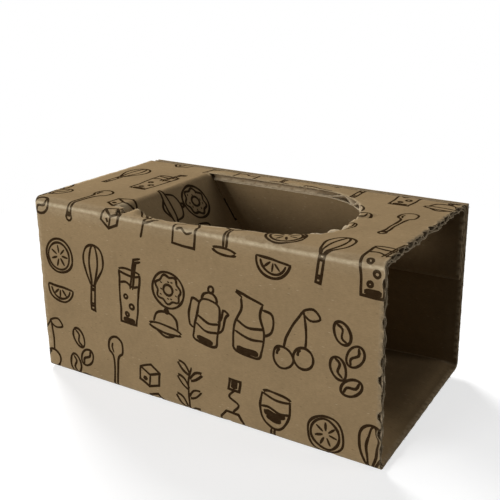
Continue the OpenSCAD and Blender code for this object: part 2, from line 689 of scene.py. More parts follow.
    def ragged_cut(self, x: np.ndarray, q: np.ndarray, layer: Layer) -> tuple[np.ndarray, np.ndarray]:
        """Roughens the knife cut and tears the outer paper back from it.

        Args:
            x: along the sleeve.
            q: round the wrap.
            layer: the paper that is roughened.

        Returns:
            How far x and q move.
        """
        b, h = self.board, self.handling
        away = self.cut_distance(x, q)
        tongue = self.on_tongue(x, q)
        y = self.top_y(q) - b.opening_y
        in_round = x > b.round_x
        out_x = np.where(in_round, (x - b.round_x) / b.opening_r, 0.0)
        out_y = np.where(in_round, y / b.opening_r, np.sign(y))
        turned = np.arctan2(y, x - b.round_x) * b.opening_r + self.ROUND_START
        place = np.where(in_round, turned, x * np.sign(y) + self.SIDE_START)
        panel, flap = (sum(size * noise.along(place, step) for size, step in h.knife_waves)
                       for noise in (self.cuts[layer], self.cuts[layer + len(Layer)]))
        rough = np.abs(np.where(tongue, flap, panel))
        rough = rough * smoothstep((x - b.hinge_x - h.knife_from) / h.knife_ease)
        fade = np.exp(-np.abs(away) / h.knife_fade)
        shift = np.where(np.abs(away) < h.knife_reach, rough * fade, 0.0)
        shift = np.where(tongue, -shift, shift)
        peeled = (layer == Layer.OUTER) & ~tongue & (away > -b.kerf / 2)
        peel = self.peel(x, q) * np.clip(1 - away / h.peel_reach, 0, 1) ** 2
        shift = shift + np.where(peeled, peel, 0.0)
        return shift * out_x, shift * out_y

    def peel(self, x: np.ndarray, q: np.ndarray) -> np.ndarray:
        """Works out how far the outer paper is torn back from the opening's edge.

        Args:
            x: along the sleeve.
            q: round the wrap.

        Returns:
            Widths of the strip that is laid bare, for the nearest part of the edge.
        """
        b, h = self.board, self.handling
        y = self.top_y(q) - b.opening_y
        strip = h.strip_bare.share(x - self.tear_x) * (y < 0)
        turn = np.degrees(np.arctan2(y, np.maximum(x - b.round_x, TINY)))
        lip = h.lip_bare.share(turn) * (x > b.round_x)
        noise = self.cuts[0]
        return strip * h.strip_peel.along(noise, x) + lip * h.lip_peel.along(noise, turn)

    def section(self, q: np.ndarray, n: np.ndarray) -> tuple[np.ndarray, ...]:
        """Folds places across the sleeve.

        Args:
            q: round the wrap.
            n: depth below the printed face.

        Returns:
            y and z of each place, and y and z of its outward normal.
        """
        b = self.board
        part = self.segment(q)
        run = q - self.breaks[part]
        left = self.spans[part] - run
        c = b.fold_r + (b.board_t + b.crease_r - b.fold_r) * n / b.board_t
        draw = c - b.fold_r
        from_fold = run + draw * np.clip(1 - run / self.FOLDED_INTO, 0, 1)
        to_fold = self.spans[part] - (left + draw * np.clip(1 - left / self.FOLDED_INTO, 0, 1))
        inner = np.where(run < left, from_fold, to_fold)
        half, high, flap_y = b.depth / 2, b.height, b.flap_y
        back_fold, front_fold = part == Segment.BACK_FOLD, part == Segment.FRONT_FOLD
        top_fold, flap_fold = part == Segment.TOP_FOLD, part == Segment.FLAP_FOLD
        start = np.select([back_fold, front_fold, top_fold], [0.0, -math.pi / 2, math.pi], math.pi / 2)
        turn = start - run / self.spans[part] * math.pi / 2
        arc_y = np.select([back_fold, flap_fold], [half - c, flap_y - c], c - half) + (c - n) * np.cos(turn)
        arc_z = np.where(part >= Segment.TOP_FOLD, high - c, c) + (c - n) * np.sin(turn)
        back_z = b.seam_z - np.where(run < left, run, to_fold)
        flap_z = high - b.fold_r - np.where(run < left, from_fold, run)
        panels = {
            Segment.BACK: (half - n, back_z, 1.0, 0.0),
            Segment.BOTTOM: (half - b.fold_r - inner, n, 0.0, -1.0),
            Segment.FRONT: (n - half, b.fold_r + inner, -1.0, 0.0),
            Segment.TOP: (b.fold_r - half + inner, high - n, 0.0, 1.0),
            Segment.FLAP: (flap_y - n, flap_z, 1.0, 0.0),
        }
        on = [part == panel for panel in panels]
        folds = (arc_y, arc_z, np.cos(turn), np.sin(turn))
        return tuple(np.select(on, flat, fold) for flat, fold in zip(zip(*panels.values()), folds))

    def fold(self, x: np.ndarray, q: np.ndarray, n: np.ndarray,
             layer: Layer) -> tuple[np.ndarray, np.ndarray]:
        """Folds places of the blank into the sleeve and bends the tongue down.

        Args:
            x: along the sleeve.
            q: round the wrap.
            n: depth below the printed face.
            layer: the paper that the places are on.

        Returns:
            Places and outward normals, in millimetres, one row each.
        """
        b = self.board
        tongue = self.on_tongue(x, q)
        move_x, move_q = self.ragged_cut(x, q, layer)
        new_x = self.ragged_ends(x, q, layer) + move_x
        n = n * (1 - self.squeeze(x, q))
        y, z, out_y, out_z = self.section(q + move_q, n)
        past = np.maximum(new_x - b.hinge_x, 0.0)
        turn = np.minimum(past / b.bend_mid_r, self.angle)
        flat = np.maximum(past - b.bend_mid_r * self.angle, 0.0)
        radius = b.bend_r + b.board_t - n
        bent_x = b.hinge_x + radius * np.sin(turn) + flat * np.cos(turn)
        bent_z = b.height - b.board_t - b.bend_r + radius * np.cos(turn) - flat * np.sin(turn)
        bent = rows_of(bent_x, y, bent_z)
        bent_out = rows_of(np.sin(turn), np.zeros_like(turn), np.cos(turn))
        out = np.where(tongue[:, None], bent_out, rows_of(np.zeros_like(turn), out_y, out_z))
        place = np.where(tongue[:, None], bent, rows_of(new_x, y, z))
        calm = np.where(tongue, self.handling.tongue_calm.share(flat), 1.0)
        return self.twist(place + out * (self.dent(x, q) * calm)[:, None]), out

    def twist(self, place: np.ndarray) -> np.ndarray:
        """Sets the right end a little out of square.

        Args:
            place: places on the square sleeve, one row each.

        Returns:
            The moved places.
        """
        b, h = self.board, self.handling
        x, y, z = place.T
        along = smoothstep((x - h.square_x) / (b.length / 2 - h.square_x))
        foot = along * (0.5 + y / b.depth) * (1 - z / b.height)
        brow = along ** 3 * (0.5 - y / b.depth) * z / b.height
        return place + rows_of(-h.corner_cut * brow, h.corner_flare * foot, h.corner_lift * foot)

    def wear_and_highlight(self, x: np.ndarray, q: np.ndarray, layer: Layer) -> np.ndarray:
        """Works out how rubbed a paper is, and where a highlight is painted on it.

        Args:
            x: along the sleeve.
            q: round the wrap.
            layer: the paper.

        Returns:
            Values from 0 to 1, highest on the folds and beside the cut edges, with painted highlights on the
            top fold and on the inner papers' torn edges.
        """
        b, h = self.board, self.handling
        # painted highlight: a paler band beside the top fold, stronger towards the left end
        top_highlight = h.top_highlight + h.top_highlight_left * smoothstep((h.top_highlight_x - x) / h.top_highlight_ease)
        lines = (*h.rubbed_and_highlit_folds, (Segment.TOP_FOLD, top_highlight, h.top_highlight_at, h.top_highlight_width))
        rubbed_and_highlit = np.zeros_like(q)
        for fold, share, aside, width in lines:
            rubbed_and_highlit = np.maximum(rubbed_and_highlit, share * hump(self.fold_distance(q, fold) - aside, width))
        part = self.segment(q)
        away = self.cut_distance(x, q)
        y = self.top_y(q) - b.opening_y + b.opening_r
        hinge = h.hinge_rub * hump(x - b.hinge_x - h.hinge_at, h.hinge_width) * h.hinge_run.share(y)
        bare = smoothstep((self.peel(x, q) + h.bare_past - away) / h.bare_past)
        bare = h.bare_rub * bare * (away > -b.kerf / 2) * (layer != Layer.OUTER)
        rubbed_and_highlit = np.maximum(rubbed_and_highlit, np.where(part == Segment.TOP, hinge, 0.0) + bare)
        end = np.minimum(b.length / 2 - np.abs(x), np.minimum(q, self.girth - q))
        edge = np.minimum(end, np.where(x > b.hinge_x, np.abs(away), FAR))
        # torn edges of the inner papers on the front and top: pale torn paper plus a painted highlight
        torn = (part >= Segment.FRONT) & (part <= Segment.TOP) & (layer != Layer.OUTER)
        fade = np.exp(-edge / np.where(torn, h.torn_highlight_fade, h.cut_fade))
        return np.clip(rubbed_and_highlit + np.where(torn, h.torn_pale_and_highlight, h.cut_pale) * fade, 0, 1)


OVAL_STEP = 0.8  # length of the short stretches that draw an oval, in millimetres
OVAL_LEAST = 12  # fewest stretches of an oval
CURVE_STEP = 0.9
LINE_STEP = 1.1
Knot = tuple[float, float]


def turning(degrees: float) -> np.ndarray:
    """Returns the matrix that turns rows of places to the left."""
    c, s = math.cos(math.radians(degrees)), math.sin(math.radians(degrees))
    return np.array([[c, s], [-s, c]])


def mirrored(*knots: Knot) -> list[Knot]:
    """Returns knots and then their mirror images, with those on the axis once."""
    return [*knots, *((-x, y) for x, y in reversed(knots) if x)]


def oval(x: float, y: float, rx: float, ry: float, start: float = 0.0, stop: float = 360.0,
         turn: float = 0.0) -> np.ndarray:
    """Draws an oval, or a part of one.

    Args:
        x: middle across.
        y: middle upwards.
        rx: half the width.
        ry: half the height.
        start: first angle in degrees.
        stop: last angle in degrees.
        turn: how far the oval leans, in degrees.

    Returns:
        Points along the line.
    """
    span = math.radians(stop - start)
    count = max(OVAL_LEAST, int(abs(span) * max(rx, ry) / OVAL_STEP))
    angle = math.radians(start) + span * np.arange(count + 1) / count
    px, py = rx * np.cos(angle), ry * np.sin(angle)
    c, s = math.cos(math.radians(turn)), math.sin(math.radians(turn))
    return rows_of(x + c * px - s * py, y + s * px + c * py)


def curve(*knots: Knot, closed: bool = False) -> np.ndarray:
    """Draws a smooth line through knots.

    Args:
        *knots: places that the line goes through.
        closed: whether it comes back to its start.

    Returns:
        Points along the line.
    """
    p = np.array(knots, float)
    before = p[-1:] if closed else 2 * p[:1] - p[1:2]
    after = p[:2] if closed else 2 * p[-1:] - p[-2:-1]
    p = np.vstack([before, p, after])
    rows = []
    for a, b, c, d in zip(p, p[1:], p[2:], p[3:]):
        count = max(2, int(np.hypot(*(c - b)) / CURVE_STEP))
        t = np.arange(count)[:, None] / count
        rows.append(0.5 * (2 * b + (c - a) * t + (2 * a - 5 * b + 4 * c - d) * t ** 2
                           + (3 * b - a - 3 * c + d) * t ** 3))
    return np.vstack(rows + [p[-2:-1]])


def line(*knots: Knot) -> np.ndarray:
    """Draws straight lines between knots.

    Args:
        *knots: places that the lines join.

    Returns:
        Points along the lines.
    """
    p = np.array(knots, float)
    rows = []
    for a, b in zip(p, p[1:]):
        count = max(1, int(np.hypot(*(b - a)) / LINE_STEP))
        rows.append(a + (b - a) * np.arange(count)[:, None] / count)
    return np.vstack(rows + [p[-1:]])


class Motif(Enum):
    """Kitchen drawings that the print repeats, each about its own middle, in millimetres."""

    TEAPOT = "teapot"
    GOBLET = "goblet"
    BEANS = "beans"
    TUMBLER = "tumbler"
    SPRIG = "sprig"
    JUG = "jug"
    CITRUS = "citrus"
    SPOON = "spoon"
    RING_CAKE = "ring_cake"
    TEA_BAG = "tea_bag"
    CHERRIES = "cherries"
    WHISK = "whisk"
    CUBES = "cubes"

    def lines(self) -> list[np.ndarray]:
        """Draws the strokes of the thin pen.

        Returns:
            Points along each stroke.
        """
        drawn = {Motif.BEANS: self.beans, Motif.SPRIG: self.sprig, Motif.CITRUS: self.citrus,
                 Motif.RING_CAKE: self.ring_cake}
        return drawn[self]() if self in drawn else self.plain_lines()

    @staticmethod
    def beans() -> list[np.ndarray]:
        """Draws four beans, each an oval with a bent split.

        Returns:
            Points along each stroke.
        """
        split = np.array([(-0.6, 4.4), (0.9, 1.6), (-0.9, -1.6), (0.6, -4.4)])
        drawn = []
        for x, y, lean in ((-2.6, 9.6, 30), (3.4, 1.2, -26), (-3.4, -5.4, 18), (2.6, -12.4, -52)):
            drawn += [oval(x, y, 3.3, 5.0, turn=lean), curve(*(split @ turning(lean) + (x, y)))]
        return drawn

    @staticmethod
    def sprig() -> list[np.ndarray]:
        """Draws a stem with leaves to both sides.

        Returns:
            Points along each stroke.
        """
        drawn = [curve((-0.5, -16), (0.8, -6), (-0.6, 5), (0.6, 15))]
        for way, y in ((1, -9), (-1, -5), (1, 0), (-1, 4), (1, 8.5), (-1, 11)):
            leaf = (0.2, y), (way * 3.4, y + 1.2), (way * 6.6, y + 5), (way * 2.8, y + 4.4)
            drawn.append(curve(*leaf, closed=True))
        return drawn

    @staticmethod
    def citrus() -> list[np.ndarray]:
        """Draws a whole slice above a half slice.

        Returns:
            Points along each stroke.
        """
        drawn = [oval(0, 6, 7.8, 8.0), oval(0, 6, 6.2, 6.4)]
        for k in range(7):
            c, s = math.cos(2 * math.pi * k / 7), math.sin(2 * math.pi * k / 7)
            drawn.append(line((1.4 * c, 6 + 1.4 * s), (5.0 * c, 6 + 5.2 * s)))
        drawn += [oval(1, -9, 7.4, 7.4, 180, 362), line((-6.4, -9), (8.4, -9))]
        drawn += [oval(1, -9, 5.6, 5.8, 190, 350), line((1, -10.4), (1, -14))]
        return drawn + [line((0, -10.2), (-2.6, -12.8)), line((2, -10.2), (4.6, -12.8))]

    @staticmethod
    def ring_cake() -> list[np.ndarray]:
        """Draws an iced ring with crumbs, above a covered dish.

        Returns:
            Points along each stroke.
        """
        turn = 2 * math.pi * np.arange(61) / 60
        icing = rows_of(np.cos(turn), np.sin(turn)) * (6.2 + 0.6 * np.sin(7 * turn))[:, None] + (0, 6)
        icing[-1] = icing[0]
        drawn = [oval(0, 6, 8.2, 8.2), oval(0, 6, 2.4, 2.4), icing]
        for k in range(9):
            place, r = 0.4 + 0.7 * k, 4.0 + 0.5 * (k % 2)
            x, y = r * math.cos(place), 6 + r * math.sin(place)
            drawn.append(line((x, y), (x + 1.1 * math.cos(3.1 * k), y + 1.1 * math.sin(3.1 * k))))
        return drawn + [oval(0, -12.6, 8.6, 1.8), curve(*mirrored((-5, -14), (0, -16.4))),
                        curve(*mirrored((-6.6, -11), (-5, -6.4), (0, -4.8))), oval(0, -3.9, 0.9, 0.9)]

    def plain_lines(self) -> list[np.ndarray]:
        """Draws a motif in which nothing repeats.

        Returns:
            Points along each stroke.
        """
        return {
            Motif.TEAPOT: lambda: [
                curve(*mirrored((-5.6, 1), (-6, -8), (-5, -12.6)), (4, 7), (-4, 7), closed=True),
                curve(*mirrored((-4, 7.2), (-3, 10), (0, 11.2))), oval(0, 12.9, 1.3, 1.5),
                curve((5.8, -6), (8, -3), (8.4, 3), (10, 5.4)),
                curve((5.4, -0.6), (6.6, 1.6), (7, 6), (10, 5.4)),
                curve((-4.6, 5), (-8.8, 5.4), (-9.6, -1), (-8.6, -7), (-6, -7.6)),
                curve(*mirrored((-5.7, -1), (0, -2.6))), curve(*mirrored((-6, -5), (0, -6.6)))],
            Motif.GOBLET: lambda: [
                curve(*mirrored((-6.6, 14), (-7, 7), (-4.5, 1), (0, -1.2))), oval(0, 14, 6.6, 1.6),
                line((-0.8, -1.4), (-0.8, -12)), line((0.8, -1.4), (0.8, -12)), oval(0, -13.4, 5.6, 1.5),
                curve((-6.8, 7.4), (-3, 8), (2, 6.6), (6.8, 7.6)),
                curve((-3.8, 4), (-4.4, 5.4), (-4.4, 6.4))],
            Motif.TUMBLER: lambda: [
                line(*mirrored((-6, 10), (-4.4, -15))), oval(0, 10, 6, 1.5),
                curve((-5.5, 4), (-2, 5), (2, 3.4), (5.5, 4.4)), line((0.4, 2), (2.4, 16.6), (6.2, 18)),
                line((1.9, 2), (3.7, 15.4), (6.5, 16.6)), oval(-1.8, -2, 1.0, 1.0),
                oval(1.6, -6.4, 1.2, 1.2), oval(-1.2, -10.6, 0.9, 0.9)],
            Motif.JUG: lambda: [
                curve(*mirrored((-5, 12), (-4.4, 7), (-7, 0), (-6.8, -8), (-5, -12))),
                curve((-5, 12), (-8.6, 14.4), (-3, 13.2), (5, 12)),
                curve((5, 9.6), (9.6, 9), (10.2, 2), (7, -1.4)),
                curve(*mirrored((-6.6, 1.6), (0, 0.2))), curve(*mirrored((-7, -3.4), (0, -4.8)))],
            Motif.SPOON: lambda: [
                curve(*mirrored((0, 16), (3.4, 14), (3.8, 9), (1.2, 5), (0.9, -11), (1.5, -15), (0, -16.4)),
                      closed=True),
                curve((-1.9, 12.8), (-2.3, 10.6), (-1.3, 8.2))],
            Motif.TEA_BAG: lambda: [
                line(*mirrored((-5.6, -3), (-5.6, -14.4)), (3, 0.4), (-3, 0.4), (-5.6, -3)),
                curve((0, 0.6), (2.6, 4.6), (-2, 7.4), (0.6, 11.2)),
                line((-2.2, 11.4), (3, 11.4), (3, 16.2), (-2.2, 16.2), (-2.2, 11.4)),
                curve((-4.2, -8), (-1.5, -6.8), (1.2, -8.8), (4.2, -7.6))],
            Motif.CHERRIES: lambda: [
                oval(-4.2, -9, 4.4, 4.6), oval(4.6, -6.2, 4.3, 4.5), curve((-4.2, -4.6), (-3, 4), (1.4, 13)),
                curve((4.6, -1.8), (3.8, 5), (1.4, 13)),
                curve((1.4, 13), (5, 10.6), (9, 12.6), (5.6, 15.4), closed=True),
                oval(-5.2, -8, 1.8, 2.2, 110, 200), oval(3.6, -5.2, 1.8, 2.2, 110, 200)],
            Motif.WHISK: lambda: [
                line((-1.1, -16), (-1.1, -4), (1.1, -4), (1.1, -16), (-1.1, -16)),
                curve(*mirrored((-1, -4), (-5.6, 6), (-4.6, 13), (0, 15.6))),
                curve(*mirrored((-0.6, -4), (-2.4, 6), (-1.6, 13), (0, 15.2))),
                line((-1.1, -13), (1.1, -13))],
            Motif.CUBES: lambda: [
                line((-7, 1), (-1.6, -1.2), (4, 1.4), (4, 7.8), (-1.4, 10.4), (-7, 7.6), (-7, 1)),
                line((-7, 7.6), (-1.5, 5), (4, 7.8)), line((-1.5, 5), (-1.6, -1.2)),
                line((-1, -5.6), (3.6, -3.2), (7.6, -6.4), (6.8, -11.6), (2.2, -14), (-1.8, -10.8),
                     (-1, -5.6)),
                line((-1, -5.6), (3.2, -8.6), (7.6, -6.4)), line((3.2, -8.6), (2.2, -14))],
        }[self]()

    def bold_lines(self) -> list[np.ndarray]:
        """Draws the strokes of a broad pen, where a motif has them.

        Returns:
            Points along each stroke.
        """
        return {
            Motif.TEA_BAG: [line((-1.2, 14.4), (2.0, 14.4)), line((-1.2, 13.2), (2.0, 13.2))],
            Motif.TUMBLER: [line((-3.4, -13.6), (3.4, -13.6))],
            Motif.SPOON: [line((0, -14.6), (0, -12))],
            Motif.WHISK: [line((0, -15), (0, -13.8)), line((0, -5.2), (0, -7))],
            Motif.JUG: [line((-5.2, -10.6), (5.2, -10.6))],
            Motif.GOBLET: [curve(*mirrored((-4.8, 5.6), (0, 4.6))), curve(*mirrored((-3.6, 3.6), (0, 2.8)))],
            Motif.TEAPOT: [line((-4.2, -11), (4.2, -11))],
            Motif.CUBES: [line((1.4, -11.4), (0.6, -9.6)), line((-5.4, 2.6), (-3.0, 1.8))],
        }.get(self, [])


@dataclass(frozen=True)
class DrawnPrint:
    """Brick layout of pen drawings over the whole blank, in millimetres and degrees."""

    pitch_x: float = 21.4
    pitch_q: float = 42.5
    first_row: float = 0.3
    next_column: int = 5
    next_row: int = 9
    slant: float = 0.05
    lean: float = -6.0
    stray_x: float = 1.2
    stray_q: float = 1.5
    stray_turn: float = 5.0
    scale: tuple[float, float] = (0.98, 1.08)
    margin: float = 2.0
    pen: float = 1.2
    bold: float = 2.5
    sway: float = 0.3
    sway_step: float = 5.0
    swell: float = 0.2
    swell_step: float = 4.0
    tapered: float = 0.55
    sharpest: float = 0.62
    turned_back: float = 0.3
    hand_length: float = 1500.0
    least_area: float = 1e-4
    seed: int = 8

    def ribbon(self, points: np.ndarray, hand: Noise, start: float, pen: float) -> np.ndarray:
        """Gives one pen line its width.

        Args:
            points: places along the line.
            hand: unsteadiness of the pen.
            start: where along that unsteadiness the line begins.
            pen: width of the line.

        Returns:
            Four corners for each short stretch of the line, in turning order.
        """
        closed = bool(np.allclose(points[0], points[-1]))
        step = np.diff(points, axis=0)
        step /= np.maximum(np.hypot(step[:, 0], step[:, 1]), TINY)[:, None]
        before = np.vstack([step[-1:] if closed else step[:1], step])
        after = np.vstack([step, step[:1] if closed else step[-1:]])
        along = before + after
        along /= np.maximum(np.hypot(along[:, 0], along[:, 1]), self.turned_back)[:, None]
        mitre = 1.0 / np.clip((along * after).sum(axis=1), self.sharpest, 1.0)
        swell = 1 + self.swell * hand.along(np.arange(len(points)) + start, self.swell_step)
        half = pen / 2 * swell * mitre
        if closed:
            half[-1] = half[0]
        else:
            half[[0, -1]] *= self.tapered
        side = rows_of(-along[:, 1], along[:, 0]) * half[:, None]
        low, high = points - side, points + side
        quads = rows_of(low[:-1], low[1:], high[1:], high[:-1])
        edge = np.roll(quads, -1, axis=1) - quads
        turned = np.roll(edge, -1, axis=1)
        area = edge[:, :, 0] * turned[:, :, 1] - edge[:, :, 1] * turned[:, :, 0]
        return quads[(area > self.least_area).all(axis=1)]

    def ribbons(self, blank: Blank) -> np.ndarray:
        """Lays the drawings out over the blank.

        Args:
            blank: the flat blank.

        Returns:
            Four corners, x and q, for each short stretch of every line.
        """
        rng = np.random.default_rng(self.seed)
        hand = Noise(self.seed + 1)
        kinds = list(Motif)
        half = blank.board.length / 2
        low, high = (-half - self.margin, -self.margin), (half + self.margin, blank.girth + self.margin)
        found = []
        for row in range(-1, int(blank.girth / self.pitch_q) + 2):
            for column in range(-1, int(2 * half / self.pitch_x) + 2):
                motif = kinds[(self.next_column * column + self.next_row * row) % len(kinds)]
                x = -half + (column + 0.5 * (row % 2)) * self.pitch_x
                x = x + rng.uniform(-self.stray_x, self.stray_x)
                q = (row + self.first_row) * self.pitch_q + rng.uniform(-self.stray_q, self.stray_q)
                middle = (x, q - self.slant * x)
                spin = turning(self.lean + rng.uniform(-self.stray_turn, self.stray_turn))
                spin = spin * rng.uniform(*self.scale)
                strokes = [(points, self.pen) for points in motif.lines()]
                strokes += [(points, self.bold) for points in motif.bold_lines()]
                for points, pen in strokes:
                    start = rng.uniform(0, self.hand_length)
                    sway = rows_of(*(hand.along(points[:, i] + start, self.sway_step) for i in (1, 0)))
                    placed = (points + self.sway * sway) @ spin + middle
                    if ((placed > low) & (placed < high)).any(axis=0).all():
                        found.append(self.ribbon(placed, hand, start, pen))
        return np.concatenate(found)


@dataclass
class Skin:
    """One face of a paper, cut into triangles while it is flat."""

    flat: np.ndarray
    triangles: np.ndarray
    inked: np.ndarray
    source: list[list[int]]

    def rim(self) -> np.ndarray:
        """Finds the skin's edges.

        Returns:
            Pairs of places with the skin on their left and nothing on their right.
        """
        t = self.triangles
        edges = np.concatenate([t[:, [0, 1]], t[:, [1, 2]], t[:, [2, 0]]])
        size = len(self.flat)
        forward = edges[:, 0] * size + edges[:, 1]
        backward = edges[:, 1] * size + edges[:, 0]
        return edges[~np.isin(forward, backward)]


ALL_TRIANGLES = 0  # kind of result that holds every triangle out to the hull


def spaced(start: float, stop: float, step: float) -> np.ndarray:
    """Returns even steps from start up to, but without, stop."""
    count = max(1, round(abs(stop - start) / step))
    return start + (stop - start) * np.arange(count) / count


@dataclass(frozen=True)
class Cutter:
    """Cuts the flat blank's outline and splits its faces into triangles, by steps in millimetres."""

    blank: Blank
    end_step: float = 0.62
    raw_step: float = 1.6
    cut_step: float = 1.0
    tear_steps: int = 16
    tear_clear: float = 0.2
    fold_step: float = 0.55
    beside_fold: float = 1.8
    beside_step: float = 0.6
    end_columns: tuple[float, ...] = (0.5, 1.2, 2.2, 3.4, 4.8)
    end_reach: float = 6.4
    bend_step: float = 0.45
    bend_past: float = 1.5
    strip_from: float = -6.5
    strip_to: float = 36.0
    strip_step: float = 1.2
    strip_under: float = 2.0
    strip_row: float = 1.1
    ring_gaps: tuple[float, ...] = (0.7, 1.6, 2.8, 4.4, 6.4)
    ring_step: float = 1.7
    cut_clear: float = 0.3
    merge: float = 8e-4

    def outer_edge(self) -> np.ndarray:
        """Draws the blank's outer edge.

        Returns:
            Places, x and q, once round.
        """
        half, girth = self.blank.board.length / 2, self.blank.girth
        raw = spaced(-half, half, self.raw_step)
        end = spaced(0.0, girth, self.end_step)
        sides = ((raw, np.zeros_like(raw)), (np.full_like(end, half), end),
                 (-raw, np.full_like(raw, girth)), (np.full_like(end, -half), girth - end))
        return np.vstack([rows_of(x, q) for x, q in sides])

    def hoop(self, radius: float) -> np.ndarray:
        """Draws the knife's way at one distance from the opening's middle.

        Args:
            radius: half the distance between its straight sides.

        Returns:
            Places, x and the distance across, from the hinge round the end and back.
        """
        b = self.blank.board
        run = spaced(b.hinge_x, b.round_x, self.cut_step)
        back = np.append(run[::-1] + (b.round_x - run[-1]), b.hinge_x)
        turn = spaced(-math.pi / 2, math.pi / 2, self.cut_step / radius)
        x = np.concatenate([run, b.round_x + radius * np.cos(turn), back])
        y = np.concatenate([np.full_like(run, -radius), radius * np.sin(turn), np.full_like(back, radius)])
        return rows_of(x, y)

    def knife_cut(self) -> np.ndarray:
        """Draws the gap round the tongue, with the tear in the front strip.

        Returns:
            Places, x and q, once round the gap.
        """
        bl, b, h = self.blank, self.blank.board, self.blank.handling
        up = np.arange(self.tear_steps + 1) / self.tear_steps
        left, right = bl.tear_sides(up)
        deep = -b.opening_r - h.tear_depth * up
        tear = np.vstack([rows_of(left, deep), rows_of(right, deep)[-2::-1]])
        edge = self.hoop(b.opening_r)
        front = edge[:, 1] < TINY - b.opening_r
        first = edge[:, 0] < bl.tear_x - self.tear_clear
        past = edge[:, 0] > bl.tear_x + h.tear_gap + self.tear_clear
        edge = np.vstack([edge[first & front], tear, edge[past & front], edge[~front]])
        cut = np.vstack([edge, self.hoop(b.opening_r - b.kerf)[::-1]])
        cut[:, 1] = bl.top_q(cut[:, 1] + b.opening_y)
        return cut

    def rows(self, step: float) -> np.ndarray:
        """Spreads rows round the wrap, close together on the folds and beside them.

        Args:
            step: distance between rows on the panels.

        Returns:
            q of each row.
        """
        beside, near = self.beside_fold, min(step, self.beside_step)
        parts = []
        for part in Segment:
            start, stop = self.blank.breaks[part], self.blank.breaks[part + 1]
            if part % 2:
                parts.append(spaced(start, stop, self.fold_step))
                continue
            parts.append(spaced(start, start + beside, near))
            parts.append(spaced(start + beside, stop - beside, step))
            parts.append(spaced(stop - beside, stop, near))
        return np.concatenate(parts)[1:]

    def columns(self, step: float) -> np.ndarray:
        """Spreads columns along the sleeve, close together at its ends.

        Args:
            step: distance between columns away from the ends.

        Returns:
            x of each column.
        """
        half = self.blank.board.length / 2
        near, reach = np.array(self.end_columns), half - self.end_reach
        return np.concatenate([near - half, spaced(-reach, reach, step), [reach], half - near[::-1]])

    def grid(self, row_step: float, column_step: float) -> np.ndarray:
        """Spreads places over the blank.

        Args:
            row_step: distance between rows on the panels.
            column_step: distance between columns away from the ends.

        Returns:
            Places, x and q, with more on the tongue's bend, on the front strip and round the opening.
        """
        bl, b = self.blank, self.blank.board
        rows = self.rows(row_step)
        top = rows[bl.segment(rows) == Segment.TOP]
        bend = b.hinge_x + np.arange(0.0, b.bend_mid_r * bl.angle + self.bend_past, self.bend_step)
        strip_x = np.arange(bl.tear_x + self.strip_from, bl.tear_x + self.strip_to, self.strip_step)
        strip_q = np.arange(bl.breaks[Segment.TOP_FOLD] - self.strip_under,
                            bl.top_q(b.opening_y - b.opening_r), self.strip_row)
        places = [mesh_of(self.columns(column_step), rows), mesh_of(bend, top), mesh_of(strip_x, strip_q)]
        turn = spaced(-math.pi / 2, math.pi / 2, self.ring_step / b.opening_r)
        for gap in self.ring_gaps:
            r = b.opening_r + gap
            places.append(rows_of(b.round_x + r * np.cos(turn), bl.top_q(r * np.sin(turn) + b.opening_y)))
        found = np.concatenate(places)
        away = bl.cut_distance(*found.T)
        return found[(away > self.cut_clear) | (away < -b.kerf - self.cut_clear)]

    def cut(self, inner: np.ndarray, ribbons: np.ndarray | None = None) -> Skin:
        """Cuts the blank out and splits it into triangles.

        Args:
            inner: places away from its edges.
            ribbons: four corners of each inked stretch, or none.

        Returns:
            The flat skin.
        """
        places, edges, faces, start = [], [], [], 0
        for loop in (self.outer_edge(), self.knife_cut()):
            size = len(loop)
            places.append(loop)
            edges += [(start + i, start + (i + 1) % size) for i in range(size)]
            start += size
        if ribbons is not None:
            places.append(ribbons.reshape(-1, 2))
            faces = (start + np.arange(4 * len(ribbons))).reshape(-1, 4).tolist()
        return self.split(np.concatenate([*places, inner]), edges, faces)

    def split(self, places: np.ndarray, edges: list[tuple[int, int]], faces: list[list[int]]) -> Skin:
        """Triangulates places and keeps what is board.

        Args:
            places: x and q of every place.
            edges: pairs of places that stay joined.
            faces: runs of places round each inked stretch.

        Returns:
            The flat skin, with the places that it uses.
        """
        bl = self.blank
        found, _, cells, source, _, origin = delaunay_2d_cdt(
            [Vector(p) for p in places], edges, faces, ALL_TRIANGLES, self.merge)
        flat = np.array([tuple(v) for v in found])
        cells = np.array(cells)
        a, b, c = flat[cells].transpose(1, 0, 2)
        area = (b[:, 0] - a[:, 0]) * (c[:, 1] - a[:, 1]) - (b[:, 1] - a[:, 1]) * (c[:, 0] - a[:, 0])
        cells[area < 0] = cells[area < 0][:, ::-1]
        x, q = ((a + b + c) / 3).T
        keep = (np.abs(x) < bl.board.length / 2) & (q > 0) & (q < bl.girth) & ~bl.in_kerf(x, q)
        inked = np.array([bool(o) for o in origin])[keep]
        used, renumbered = np.unique(cells[keep], return_inverse=True)
        return Skin(flat[used], renumbered.reshape(-1, 3), inked, [source[i] for i in used])

    def backing(self, face: Skin, inner: np.ndarray) -> tuple[Skin, np.ndarray]:
        """Cuts a plainer skin that has the same edges as a printed one.

        Args:
            face: the printed skin.
            inner: places away from its edges.

        Returns:
            The plain skin, and which of its places lies under each place on the printed skin's edge.
        """
        used, renumbered = np.unique(face.rim(), return_inverse=True)
        edges = [tuple(pair) for pair in renumbered.reshape(-1, 2).tolist()]
        skin = self.split(np.concatenate([face.flat[used], inner]), edges, [])
        partner = np.full(len(face.flat), -1)
        for place, sources in enumerate(skin.source):
            for source in sources:
                if source < len(used):
                    partner[used[source]] = place
        return skin, partner


Inputs = dict[str | int, object] | None


